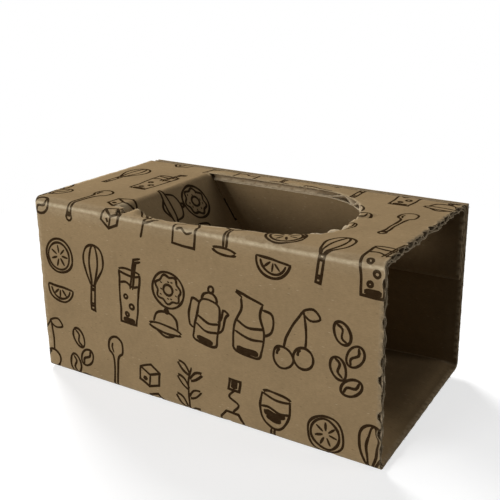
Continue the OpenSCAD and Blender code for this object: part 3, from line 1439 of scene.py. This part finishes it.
class Graph:
    """Adds nodes to one tree and links them."""

    def __init__(self, tree: bpy.types.NodeTree) -> None:
        """Keeps the tree and empties it.

        Args:
            tree: a shader or geometry tree.
        """
        self.tree = tree
        tree.nodes.clear()

    @classmethod
    def group(cls, name: str, kind: str, inputs: dict[str, str], outputs: dict[str, str]) -> "Graph":
        """Starts a node group.

        Args:
            name: name of the group.
            kind: type of its tree.
            inputs: name of each input and the kind of its socket.
            outputs: the same for each output.

        Returns:
            The empty graph.
        """
        tree = bpy.data.node_groups.new(name, kind)
        for way, sockets in (("INPUT", inputs), ("OUTPUT", outputs)):
            for label, socket in sockets.items():
                tree.interface.new_socket(label, in_out=way, socket_type="NodeSocket" + socket)
        return cls(tree)

    def feed(self, socket: bpy.types.NodeSocket, value: object) -> None:
        """Gives one input its value.

        Args:
            socket: the input.
            value: another node's socket to link, or a plain value.
        """
        if isinstance(value, bpy.types.NodeSocket):
            self.tree.links.new(value, socket)
        else:
            socket.default_value = value

    def add(self, kind: str, inputs: Inputs = None, **settings: object) -> bpy.types.Node:
        """Adds one node.

        Args:
            kind: type name of the node.
            inputs: values or sockets for its inputs, by name or place.
            **settings: the node's own options.

        Returns:
            The node.
        """
        node = self.tree.nodes.new(kind)
        for key, value in settings.items():
            setattr(node, key, value)
        for key, value in (inputs or {}).items():
            self.feed(node.inputs[key], value)
        return node

    def out(self, kind: str, inputs: Inputs = None, **settings: object) -> bpy.types.NodeSocket:
        """Adds one node and returns its first output."""
        return self.add(kind, inputs, **settings).outputs[0]

    def math(self, operation: str, a: object, b: object = 0.0) -> bpy.types.NodeSocket:
        """Returns the result of one sum."""
        return self.out("ShaderNodeMath", {0: a, 1: b}, operation=operation)

    def scaled(self, vector: object, scale: object) -> bpy.types.NodeSocket:
        """Returns a vector made longer or shorter."""
        return self.out("ShaderNodeVectorMath", {0: vector, "Scale": scale}, operation="SCALE")

    def ramp(self, value: object, low: float, high: float, to_low: float,
             to_high: float) -> bpy.types.NodeSocket:
        """Returns a value moved from one range to another and cut off at its ends."""
        return self.out("ShaderNodeMapRange", {0: value, 1: low, 2: high, 3: to_low, 4: to_high})

    def mix(self, factor: object, a: object, b: object, blend: str = "MIX") -> bpy.types.NodeSocket:
        """Returns a mix of two colours."""
        inputs = {0: factor, 6: a, 7: b}
        return self.add("ShaderNodeMix", inputs, data_type="RGBA", blend_type=blend).outputs[2]

    def noise(self, vector: object, scale: float, detail: float, rough: float = 0.55) -> bpy.types.NodeSocket:
        """Returns a cloudy value from about 0.3 to 0.7."""
        inputs = {"Vector": vector, "Scale": scale, "Detail": detail, "Roughness": rough}
        return self.out("ShaderNodeTexNoise", inputs)

    def named(self, name: str, kind: str = "FLOAT") -> bpy.types.NodeSocket:
        """Returns a value that the mesh holds at each corner."""
        return self.out("GeometryNodeInputNamedAttribute", {"Name": name}, data_type=kind)

    def dressed(self, geometry: bpy.types.NodeSocket, paper: bpy.types.NodeSocket) -> bpy.types.NodeTree:
        """Ends a geometry tree with plain meshes in one material.

        Args:
            geometry: what the tree has made.
            paper: input that holds the material.

        Returns:
            The finished tree.
        """
        real = self.out("GeometryNodeRealizeInstances", {"Geometry": geometry})
        dressed = self.out("GeometryNodeSetMaterial", {"Geometry": real, "Material": paper})
        self.add("NodeGroupOutput", {0: dressed})
        return self.tree


class KraftFibres:
    """Shader group for the clouds, fibres, flecks, rubbed places and painted highlights of brown paper."""

    NAME = "kraft_fibres"
    CLOUDS = 0.045  # clouds, patches, fibres and flecks for each millimetre
    PATCHES = 0.42
    FIBRES = 1.0
    FLECKS = 0.62
    GRAIN = (0.55, 2.4, 1.0)  # draws the fibres out along the sleeve
    USUAL = (0.3, 0.7)  # range that most of the noise is in
    FIBRE_USUAL = (0.28, 0.72)
    CLOUD_SHADE = (0.93, 1.07)  # darkest and palest
    PATCH_SHADE = (0.95, 1.05)
    FIBRE_SHADE = (0.88, 1.12)
    FLECK_CORE = 0.1  # how far from its middle a fleck is full, and where dark and pale ones end
    FLECK_EDGES = (0.26, 0.3)
    FLECK_STRENGTHS = (0.55, 0.35)
    DARK_FLECK = (0.06, 0.035, 0.016, 1.0)
    RUB_USUAL = (0.75, 1.2)
    RUB_SHARE = (0.45, 1.0)
    ROUGHNESS = (0.68, 0.84)
    RUBBED_ROUGHER = 0.1
    FIBRE_HEIGHT = 0.7
    PATCH_HEIGHT = 0.5

    @classmethod
    def group(cls) -> bpy.types.NodeTree:
        """Builds the group once.

        Returns:
            The group, whose places are in metres.
        """
        if cls.NAME in bpy.data.node_groups:
            return bpy.data.node_groups[cls.NAME]
        inputs = {"Place": "Vector", "Base": "Color", "RubbedAndHighlit": "Color", "WearAndHighlight": "Float", "Flecks": "Float"}
        outputs = {"Color": "Color", "Roughness": "Float", "Height": "Float"}
        g = Graph.group(cls.NAME, "ShaderNodeTree", inputs, outputs)
        given = g.add("NodeGroupInput").outputs
        mm = g.scaled(given["Place"], 1 / MM)
        long = g.out("ShaderNodeVectorMath", {0: mm, 1: cls.GRAIN}, operation="MULTIPLY")
        patch = g.noise(mm, cls.PATCHES, detail=3.0, rough=0.65)
        fibre = g.noise(long, cls.FIBRES, detail=5.0, rough=0.7)
        cloud = g.ramp(g.noise(mm, cls.CLOUDS, detail=3.0), *cls.USUAL, *cls.CLOUD_SHADE)
        shade = g.math("MULTIPLY", cloud, g.ramp(patch, *cls.USUAL, *cls.PATCH_SHADE))
        shade = g.math("MULTIPLY", shade, g.ramp(fibre, *cls.FIBRE_USUAL, *cls.FIBRE_SHADE))
        color = g.mix(1.0, given["Base"], shade, "MULTIPLY")
        cells = g.add("ShaderNodeTexVoronoi", {"Vector": long, "Scale": cls.FLECKS}).outputs
        pick = g.add("ShaderNodeSeparateColor", {0: cells["Color"]}).outputs
        tints = cls.DARK_FLECK, given["RubbedAndHighlit"]
        for channel, (edge, strength, tint) in enumerate(zip(cls.FLECK_EDGES, cls.FLECK_STRENGTHS, tints)):
            chosen = g.math("GREATER_THAN", given["Flecks"], pick[channel])
            spot = g.ramp(cells["Distance"], cls.FLECK_CORE, edge, 1.0, 0.0)
            fleck = g.math("MULTIPLY", spot, chosen)
            color = g.mix(g.math("MULTIPLY", fleck, strength), color, tint)
        # rubbed paper and painted highlights are mixed towards the pale colour
        uneven = g.ramp(g.math("ADD", patch, fibre), *cls.RUB_USUAL, *cls.RUB_SHARE)
        rubbed_and_highlit = g.math("MULTIPLY", given["WearAndHighlight"], uneven)
        color = g.mix(rubbed_and_highlit, color, given["RubbedAndHighlit"])
        rough = g.ramp(fibre, *cls.USUAL, *cls.ROUGHNESS)
        rough = g.math("ADD", rough, g.math("MULTIPLY", rubbed_and_highlit, cls.RUBBED_ROUGHER))
        high = g.math("MULTIPLY", fibre, cls.FIBRE_HEIGHT)
        height = g.math("ADD", high, g.math("MULTIPLY", patch, cls.PATCH_HEIGHT))
        g.add("NodeGroupOutput", {"Color": color, "Roughness": rough, "Height": height})
        return g.tree


@dataclass(frozen=True)
class PaperFinish:
    """How one paper of the board looks; heights are in millimetres."""

    name: str
    base: tuple[float, float, float]
    # pale colour of rubbed paper, also used for the painted highlights
    rubbed_and_highlit: tuple[float, float, float]
    flecks: float = 0.05
    tooth: float = 0.09
    ribbing: float = 0.0
    ink: tuple[float, float, float] | None = None
    ink_heights: tuple[float, float] = (0.42, 0.8)
    ink_cover: tuple[float, float] = (1.0, 0.93)
    ink_worn: float = 0.3
    ink_smoother: float = 0.12
    flat: bool = True

    def material(self) -> bpy.types.Material:
        """Builds the material.

        Returns:
            A material that reads the flat blank's map, or the object's own places.
        """
        material = bpy.data.materials.new(self.name)
        material.use_nodes = True
        g = Graph(material.node_tree)
        if self.flat:
            place = g.out("ShaderNodeUVMap", uv_map="blank")
            wear_and_highlight = g.add("ShaderNodeAttribute", attribute_name="wear_and_highlight").outputs["Fac"]
        else:
            place = g.add("ShaderNodeTexCoord").outputs["Object"]
            wear_and_highlight = 0.0
        paper = g.add("ShaderNodeGroup", node_tree=KraftFibres.group())
        for key, value in (("Place", place), ("Base", (*self.base, 1.0)), ("RubbedAndHighlit", (*self.rubbed_and_highlit, 1.0)),
                           ("WearAndHighlight", wear_and_highlight), ("Flecks", self.flecks)):
            g.feed(paper.inputs[key], value)
        color, rough, height = (paper.outputs[key] for key in ("Color", "Roughness", "Height"))
        if self.ink:
            # the ink thins where the paper is rubbed and where a highlight is painted
            worn = g.math("MULTIPLY", wear_and_highlight, self.ink_worn)
            cover = g.math("SUBTRACT", g.ramp(height, *self.ink_heights, *self.ink_cover), worn)
            color = g.mix(cover, color, (*self.ink, 1.0))
            rough = g.math("SUBTRACT", rough, self.ink_smoother)
        height = g.math("MULTIPLY", height, self.tooth * MM)
        if self.ribbing:
            flute = g.add("ShaderNodeAttribute", attribute_name="flute").outputs["Fac"]
            wave = g.math("COSINE", g.math("MULTIPLY", flute, 2 * math.pi))
            height = g.math("ADD", height, g.math("MULTIPLY", wave, self.ribbing * MM))
        bump = g.out("ShaderNodeBump", {"Strength": 1.0, "Distance": 1.0, "Height": height})
        matt = {"Base Color": color, "Roughness": rough, "Normal": bump, "Specular IOR Level": 0.0}
        g.add("ShaderNodeOutputMaterial", {0: g.out("ShaderNodeBsdfPrincipled", matt)})
        return material


class Piece:
    """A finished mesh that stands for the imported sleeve."""

    @staticmethod
    def linked(mesh: bpy.types.Mesh) -> bpy.types.Object:
        """Puts a mesh into the scene.

        Args:
            mesh: the mesh.

        Returns:
            A new object of the same name.
        """
        obj = bpy.data.objects.new(mesh.name, mesh)
        bpy.context.scene.collection.objects.link(obj)
        return obj

    @staticmethod
    def hold(mesh: bpy.types.Mesh, values: dict[str, np.ndarray]) -> None:
        """Stores named values on a mesh.

        Args:
            mesh: the mesh.
            values: one number or one vector for each corner, by name.
        """
        for key, value in values.items():
            vector = value.ndim == 2
            held = mesh.attributes.new(key, "FLOAT_VECTOR" if vector else "FLOAT", "POINT")
            held.data.foreach_set("vector" if vector else "value", value.astype(np.float32).ravel())

    @classmethod
    def from_arrays(cls, name: str, places: np.ndarray, triangles: np.ndarray, flat: np.ndarray,
                    values: dict[str, np.ndarray]) -> bpy.types.Object:
        """Makes a smooth object from plain arrays.

        Args:
            name: name of the object and its mesh.
            places: corners, in millimetres.
            triangles: three corners of each face.
            flat: each corner's place on the blank, in millimetres.
            values: named values, one number or one vector for each corner.

        Returns:
            The object, linked to the scene.
        """
        mesh = bpy.data.meshes.new(name)
        mesh.vertices.add(len(places))
        mesh.vertices.foreach_set("co", (places * MM).astype(np.float32).ravel())
        mesh.loops.add(triangles.size)
        mesh.loops.foreach_set("vertex_index", triangles.astype(np.int32).ravel())
        mesh.polygons.add(len(triangles))
        mesh.polygons.foreach_set("loop_start", np.arange(0, triangles.size, 3, dtype=np.int32))
        mesh.update(calc_edges=True)
        mesh.polygons.foreach_set("use_smooth", np.ones(len(triangles), bool))
        corners = flat[triangles.ravel()] * MM
        mesh.uv_layers.new(name="blank").data.foreach_set("uv", corners.astype(np.float32).ravel())
        cls.hold(mesh, values)
        return cls.linked(mesh)

    @staticmethod
    def grow(obj: bpy.types.Object, tree: bpy.types.NodeTree, sizes: dict[str, object]) -> bpy.types.Object:
        """Runs a geometry tree on an object and keeps the result as a plain mesh.

        Args:
            obj: the object.
            tree: the geometry tree.
            sizes: values for the tree's inputs, by name.

        Returns:
            The same object, without a modifier.
        """
        modifier = obj.modifiers.new(tree.name, "NODES")
        modifier.node_group = tree
        for socket in tree.interface.items_tree:
            if socket.in_out == "INPUT" and socket.name in sizes:
                modifier[socket.identifier] = sizes[socket.name]
        done = bpy.data.meshes.new_from_object(obj.evaluated_get(bpy.context.evaluated_depsgraph_get()))
        obj.modifiers.clear()
        done.name = obj.name
        obj.data = done
        return obj

    @staticmethod
    def attach(obj: bpy.types.Object) -> None:
        """Lets a piece ride on the sleeve's body and stand for its solid.

        Args:
            obj: the piece.
        """
        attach(obj, BODY)
        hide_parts(NODE)
        LOG.info("%s: %d faces", obj.name, len(obj.data.polygons))


@dataclass
class Liner:
    """One flat paper of the board, closed at its edges."""

    name: str
    blank: Blank
    layer: Layer
    depth: float
    finishes: tuple[PaperFinish, ...]

    def build(self, face: Skin, back: Skin, partner: np.ndarray) -> bpy.types.Object:
        """Folds the paper and closes its rim.

        Args:
            face: the skin on the outside.
            back: the skin on the inside.
            partner: place of the back skin under each place on the face's edge.

        Returns:
            The piece.
        """
        spots = np.concatenate([face.flat, back.flat])
        x, q = spots.T
        depth = np.full_like(x, self.depth)
        depth[len(face.flat):] += self.blank.board.liner_t
        places, _ = self.blank.fold(x, q, depth, self.layer)
        values = {"wear_and_highlight": self.blank.wear_and_highlight(x, q, self.layer), "flute": self.blank.flutes(q)[0]}
        rim = face.rim()
        under = partner[rim] + len(face.flat)
        side = np.concatenate([rows_of(rim[:, 0], under[:, 0], under[:, 1]),
                               rows_of(rim[:, 0], under[:, 1], rim[:, 1])])
        triangles = np.concatenate([face.triangles, back.triangles[:, ::-1] + len(face.flat), side])
        obj = Piece.from_arrays(self.name, places, triangles, spots + depth[:, None], values)
        plain = len(triangles) - len(side)
        obj.data.polygons.foreach_set("use_smooth", np.arange(len(triangles)) < plain)
        slots = np.zeros(len(triangles), np.int32)
        slots[:len(face.triangles)] = face.inked
        obj.data.polygons.foreach_set("material_index", slots)
        for finish in self.finishes:
            obj.data.materials.append(finish.material())
        return obj


@dataclass
class FlutedMedium:
    """The waved paper between the liners."""

    blank: Blank
    finish: PaperFinish
    name: str = "fluted_medium"
    pressed: float = 0.98  # share of the room between the liners that the waves fill
    weld: float = 1e-6  # metres

    def tree(self) -> bpy.types.NodeTree:
        """Builds the nodes that press the flutes and give the paper its thickness.

        Returns:
            The geometry tree.
        """
        inputs = {"Geometry": "Geometry", "Height": "Float", "Thickness": "Float", "Paper": "Material"}
        g = Graph.group("press_flutes", "GeometryNodeTree", inputs, {"Geometry": "Geometry"})
        given = g.add("NodeGroupInput").outputs
        crest = g.math("COSINE", g.math("MULTIPLY", g.named("flute"), 2 * math.pi))
        rise = g.math("MULTIPLY", g.math("MULTIPLY", crest, g.named("upright")), given["Height"])
        lift = g.scaled(g.named("out", "FLOAT_VECTOR"), rise)
        waved = g.out("GeometryNodeSetPosition", {"Geometry": given["Geometry"], "Offset": lift})
        normal = g.out("GeometryNodeInputNormal")
        back = g.scaled(normal, g.math("MULTIPLY", given["Thickness"], -0.5))
        low = g.out("GeometryNodeSetPosition", {"Geometry": waved, "Offset": back})
        grown = {"Mesh": low, "Offset Scale": given["Thickness"], "Individual": False}
        both = g.add("GeometryNodeJoinGeometry", {0: g.out("GeometryNodeExtrudeMesh", grown, mode="FACES")})
        g.feed(both.inputs[0], g.out("GeometryNodeFlipFaces", {"Mesh": low}))
        closed = g.out("GeometryNodeMergeByDistance", {"Geometry": both.outputs[0], "Distance": self.weld})
        return g.dressed(closed, given["Paper"])

    def build(self, sheet: Skin) -> bpy.types.Object:
        """Folds the paper along its middle and presses the flutes.

        Args:
            sheet: the flat paper.

        Returns:
            The piece.
        """
        b = self.blank.board
        x, q = sheet.flat.T
        places, out = self.blank.fold(x, q, np.full_like(x, b.board_t / 2), Layer.MEDIUM)
        count, upright = self.blank.flutes(q)
        values = {"out": out, "flute": count, "upright": upright * (1 - self.blank.squeeze(x, q)),
                  "wear_and_highlight": self.blank.wear_and_highlight(x, q, Layer.MEDIUM)}
        obj = Piece.from_arrays(self.name, places, sheet.triangles, sheet.flat, values)
        height = (b.board_t / 2 - b.liner_t - b.medium_t / 2) * MM * self.pressed
        return Piece.grow(obj, self.tree(), {"Height": height, "Thickness": b.medium_t * MM,
                                             "Paper": self.finish.material()})


@dataclass
class TornFibres:
    """Loose paper fibres along the cut and rubbed edges, in millimetres."""

    blank: Blank
    finish: PaperFinish
    name: str = "torn_fibres"
    length: float = 1.1
    width: float = 0.07
    spread: float = 0.7
    shortest: float = 0.35
    sunk: float = 0.02
    inside: float = 0.05
    inward: float = 0.5
    past_hinge: float = 3.0
    on_end: int = 250
    on_cut: int = 107
    seed: int = 4

    def tree(self) -> bpy.types.NodeTree:
        """Builds the nodes that set one thin fibre on each place.

        Returns:
            The geometry tree.
        """
        inputs = {"Geometry": "Geometry", "Length": "Float", "Width": "Float", "Spread": "Float",
                  "Seed": "Int", "Paper": "Material"}
        g = Graph.group("set_fibres", "GeometryNodeTree", inputs, {"Geometry": "Geometry"})
        given = g.add("NodeGroupInput").outputs
        cone = g.out("GeometryNodeMeshCone", {"Vertices": 3, "Side Segments": 2, "Radius Top": 0.0,
                                              "Radius Bottom": given["Width"], "Depth": given["Length"]})
        stray = g.out("FunctionNodeRandomValue", {0: (-1.0,) * 3, 1: (1.0,) * 3, "Seed": given["Seed"]},
                      data_type="FLOAT_VECTOR")
        stray = g.scaled(stray, given["Spread"])
        aim = g.out("ShaderNodeVectorMath", {0: g.named("aim", "FLOAT_VECTOR"), 1: stray}, operation="ADD")
        turn = g.out("FunctionNodeAlignRotationToVector", {"Vector": aim}, axis="Z")
        size = g.add("FunctionNodeRandomValue", {2: self.shortest, 3: 1.0, "Seed": given["Seed"]},
                     data_type="FLOAT").outputs[1]
        placed = g.out("GeometryNodeInstanceOnPoints",
                       {"Points": given["Geometry"], "Instance": cone, "Rotation": turn, "Scale": size})
        return g.dressed(placed, given["Paper"])

    def roots(self) -> tuple[np.ndarray, np.ndarray]:
        """Finds where fibres stand.

        Returns:
            Places in millimetres, and the direction out of the edge at each.
        """
        bl, b = self.blank, self.blank.board
        rng = np.random.default_rng(self.seed)
        roots = []
        for layer, start in ((Layer.OUTER, 0.0), (Layer.INNER, b.board_t - b.liner_t)):
            depths = start + self.inside, start + b.liner_t - self.inside
            for side in (-1, 1):
                q = rng.uniform(self.inward, bl.girth - self.inward, self.on_end)
                x = np.full_like(q, side * (b.length / 2 - self.sunk))
                roots.append((x, q, x - side * self.inward, q, layer, depths))
            for radius, way in ((b.opening_r + self.sunk, 1.0), (b.opening_r - b.kerf - self.sunk, -1.0)):
                far = radius + self.inward * way
                turn = rng.uniform(-math.pi / 2, math.pi / 2, self.on_cut)
                near_q, far_q = (bl.top_q(r * np.sin(turn) + b.opening_y) for r in (radius, far))
                near_x, far_x = (b.round_x + r * np.cos(turn) for r in (radius, far))
                roots.append((near_x, near_q, far_x, far_q, layer, depths))
                x = rng.uniform(b.hinge_x + self.past_hinge, b.round_x, self.on_cut)
                side = rng.choice((-1.0, 1.0), len(x))
                near_q, far_q = (bl.top_q(side * r + b.opening_y) for r in (radius, far))
                roots.append((x, near_q, x, far_q, layer, depths))
        places, aims = [], []
        for x, q, in_x, in_q, layer, depths in roots:
            n = rng.uniform(*depths, len(x))
            root, inside = bl.fold(x, q, n, layer)[0], bl.fold(in_x, in_q, n, layer)[0]
            away = root - inside
            places.append(root)
            aims.append(away / np.maximum(np.linalg.norm(away, axis=1), TINY)[:, None])
        return np.concatenate(places), np.concatenate(aims)

    def build(self) -> bpy.types.Object:
        """Sets the fibres.

        Returns:
            The piece.
        """
        places, aims = self.roots()
        mesh = bpy.data.meshes.new(self.name)
        mesh.from_pydata((places * MM).tolist(), [], [])
        Piece.hold(mesh, {"aim": aims})
        return Piece.grow(Piece.linked(mesh), self.tree(), {
            "Length": self.length * MM, "Width": self.width * MM, "Spread": self.spread, "Seed": self.seed,
            "Paper": self.finish.material()})


@dataclass(frozen=True)
class Lamp:
    """One round soft lamp: its place and width in metres, its power in watts."""

    name: str
    place: tuple[float, float, float]
    width: float
    power: float


@dataclass(frozen=True)
class Studio:
    """Camera, floor and soft light, in metres."""

    eye: tuple[float, float, float] = (0.1871452, -0.2995546, 0.1865287)
    right: tuple[float, float, float] = (0.8587809, 0.5123397, -0.0018606)
    ahead: tuple[float, float, float] = (-0.4865306, 0.814371, -0.3163666)
    lens: float = 57.8737
    sensor: float = 36.0
    nearest: float = 0.01
    shift: tuple[float, float] = (-0.028632, -0.025396)
    floor_r: float = 7.0
    floor_z: float = -0.0004
    floor_sides: int = 96
    floor_tone: float = 0.45
    floor_bounce: float = 0.16
    white_from: float = 0.13
    white_to: float = 0.34
    lift: float = 0.70
    ambient: float = 0.07
    aim: tuple[float, float, float] = (0.0, 0.0, 0.04)
    lamps: tuple[Lamp, ...] = (
        Lamp("front", (-0.7, -1.9, 0.34), 1.1, 42.5),
        Lamp("top", (-1.75, 1.2, 1.4), 1.1, 92.0),
        Lamp("right", (2.0, 0.6, 0.5), 0.8, 11.5),
    )

    def camera(self) -> None:
        """Places the camera at the photograph's angle."""
        data = bpy.data.cameras.new("camera")
        data.lens, data.sensor_width, data.clip_start = self.lens, self.sensor, self.nearest
        data.shift_x, data.shift_y = self.shift
        camera = bpy.data.objects.new("camera", data)
        back, right = -Vector(self.ahead), Vector(self.right)
        turned = Matrix((right, back.cross(right), back)).transposed().to_4x4()
        camera.matrix_world = Matrix.Translation(self.eye) @ turned
        bpy.context.scene.collection.objects.link(camera)
        bpy.context.scene.camera = camera

    @staticmethod
    def seen(g: Graph) -> bpy.types.NodeSocket:
        """Tells rays that show the background from rays that light things.

        Args:
            g: graph of the floor or of the world.

        Returns:
            1 for rays that are seen and 0 for the others.
        """
        path = g.add("ShaderNodeLightPath").outputs
        total = g.math("MAXIMUM", path["Is Camera Ray"], path["Is Glossy Ray"])
        return g.math("MAXIMUM", total, path["Is Transmission Ray"])

    def floor(self) -> None:
        """Lays a pale floor that keeps the shadow and turns white farther out."""
        turn = 2 * math.pi * np.arange(self.floor_sides) / self.floor_sides
        ring = [(self.floor_r * math.cos(a), self.floor_r * math.sin(a), self.floor_z) for a in turn]
        mesh = bpy.data.meshes.new("floor")
        mesh.from_pydata(ring, [], [list(range(self.floor_sides))])
        floor = Piece.linked(mesh)
        material = bpy.data.materials.new("pale_floor")
        material.use_nodes = True
        g = Graph(material.node_tree)
        place = g.add("ShaderNodeTexCoord").outputs["Object"]
        away = g.add("ShaderNodeVectorMath", {0: place}, operation="LENGTH").outputs["Value"]
        far = g.ramp(away, self.white_from, self.white_to, 0.0, 1.0)
        seen = self.seen(g)
        glow = g.math("MULTIPLY", seen, g.ramp(far, 0.0, 1.0, self.lift, 1.0))
        tone = g.math("MULTIPLY", g.ramp(far, 0.0, 1.0, self.floor_tone, 0.0), seen)
        tone = g.math("ADD", tone, g.ramp(seen, 0.0, 1.0, self.floor_bounce, 0.0))
        matt = g.out("ShaderNodeBsdfDiffuse", {"Color": tone})
        white = g.out("ShaderNodeEmission", {"Strength": glow})
        g.add("ShaderNodeOutputMaterial", {0: g.out("ShaderNodeAddShader", {0: matt, 1: white})})
        mesh.materials.append(material)

    def lights(self) -> None:
        """Hangs the soft lamps and aims them at the sleeve."""
        for lamp in self.lamps:
            data = bpy.data.lights.new(lamp.name, "AREA")
            data.shape, data.size, data.energy = "DISK", lamp.width, lamp.power
            obj = bpy.data.objects.new(lamp.name, data)
            obj.location = lamp.place
            obj.rotation_euler = (Vector(self.aim) - obj.location).to_track_quat("-Z", "Y").to_euler()
            bpy.context.scene.collection.objects.link(obj)

    def world(self) -> None:
        """Makes the surroundings white to look at and dim as a light."""
        world = bpy.data.worlds.new("studio")
        world.use_nodes = True
        bpy.context.scene.world = world
        g = Graph(world.node_tree)
        strength = g.ramp(self.seen(g), 0.0, 1.0, self.ambient, 1.0)
        sky = g.out("ShaderNodeBackground", {"Color": (1.0, 1.0, 1.0, 1.0), "Strength": strength})
        g.add("ShaderNodeOutputWorld", {0: sky})

    def build(self) -> None:
        """Sets the whole stage up."""
        bpy.context.scene.view_settings.view_transform = "Standard"
        self.camera()
        self.floor()
        self.lights()
        self.world()


OUTER = PaperFinish("outer_liner_kraft", (0.272, 0.190, 0.101), (0.56, 0.46, 0.31), 0.05, 0.09, 0.035)
INK = replace(OUTER, name="brown_ink", tooth=0.07, ink=(0.023, 0.0115, 0.0045))
# the inner liner's base is darker than the outer's: partly the paper's own tone, partly painted shade of the
# sleeve's inside
INNER = PaperFinish("inner_liner_kraft_painted_shade", (0.21, 0.145, 0.076), (0.49, 0.40, 0.275), 0.07, 0.11, 0.035)
MEDIUM = PaperFinish("fluting_paper", (0.21, 0.142, 0.073), (0.47, 0.38, 0.26), 0.04, 0.10)
FIBRE = PaperFinish("paper_fibre", (0.46, 0.37, 0.25), (0.5, 0.42, 0.3), 0.0, 0.03, flat=False)
COARSE = (3.6, 4.2)  # distance between rows and between columns of places on the liners
FINE = (0.55, 7.0)  # the same on the medium, whose rows follow the flutes


def main() -> None:
    """Builds the stage and every piece."""
    logging.basicConfig(level=logging.INFO, format="%(name)s: %(message)s")
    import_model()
    low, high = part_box(NODE)
    Studio().build()
    board = Board(*((high[i] - low[i]) / MM for i in range(3)))
    blank = Blank(board, Handling())
    cutter = Cutter(blank)
    coarse = cutter.grid(*COARSE)
    printed = cutter.cut(coarse, DrawnPrint().ribbons(blank))
    LOG.info("print: %d of %d faces are inked", printed.inked.sum(), len(printed.inked))
    outer = Liner("outer_liner", blank, Layer.OUTER, 0.0, (OUTER, INK))
    Piece.attach(outer.build(printed, *cutter.backing(printed, coarse)))
    plain = cutter.cut(coarse)
    inner = Liner("inner_liner", blank, Layer.INNER, board.board_t - board.liner_t, (INNER,))
    Piece.attach(inner.build(plain, plain, np.arange(len(plain.flat))))
    Piece.attach(FlutedMedium(blank, MEDIUM).build(cutter.cut(cutter.grid(*FINE))))
    Piece.attach(TornFibres(blank, FIBRE).build())


if __name__ == "__main__":
    main()
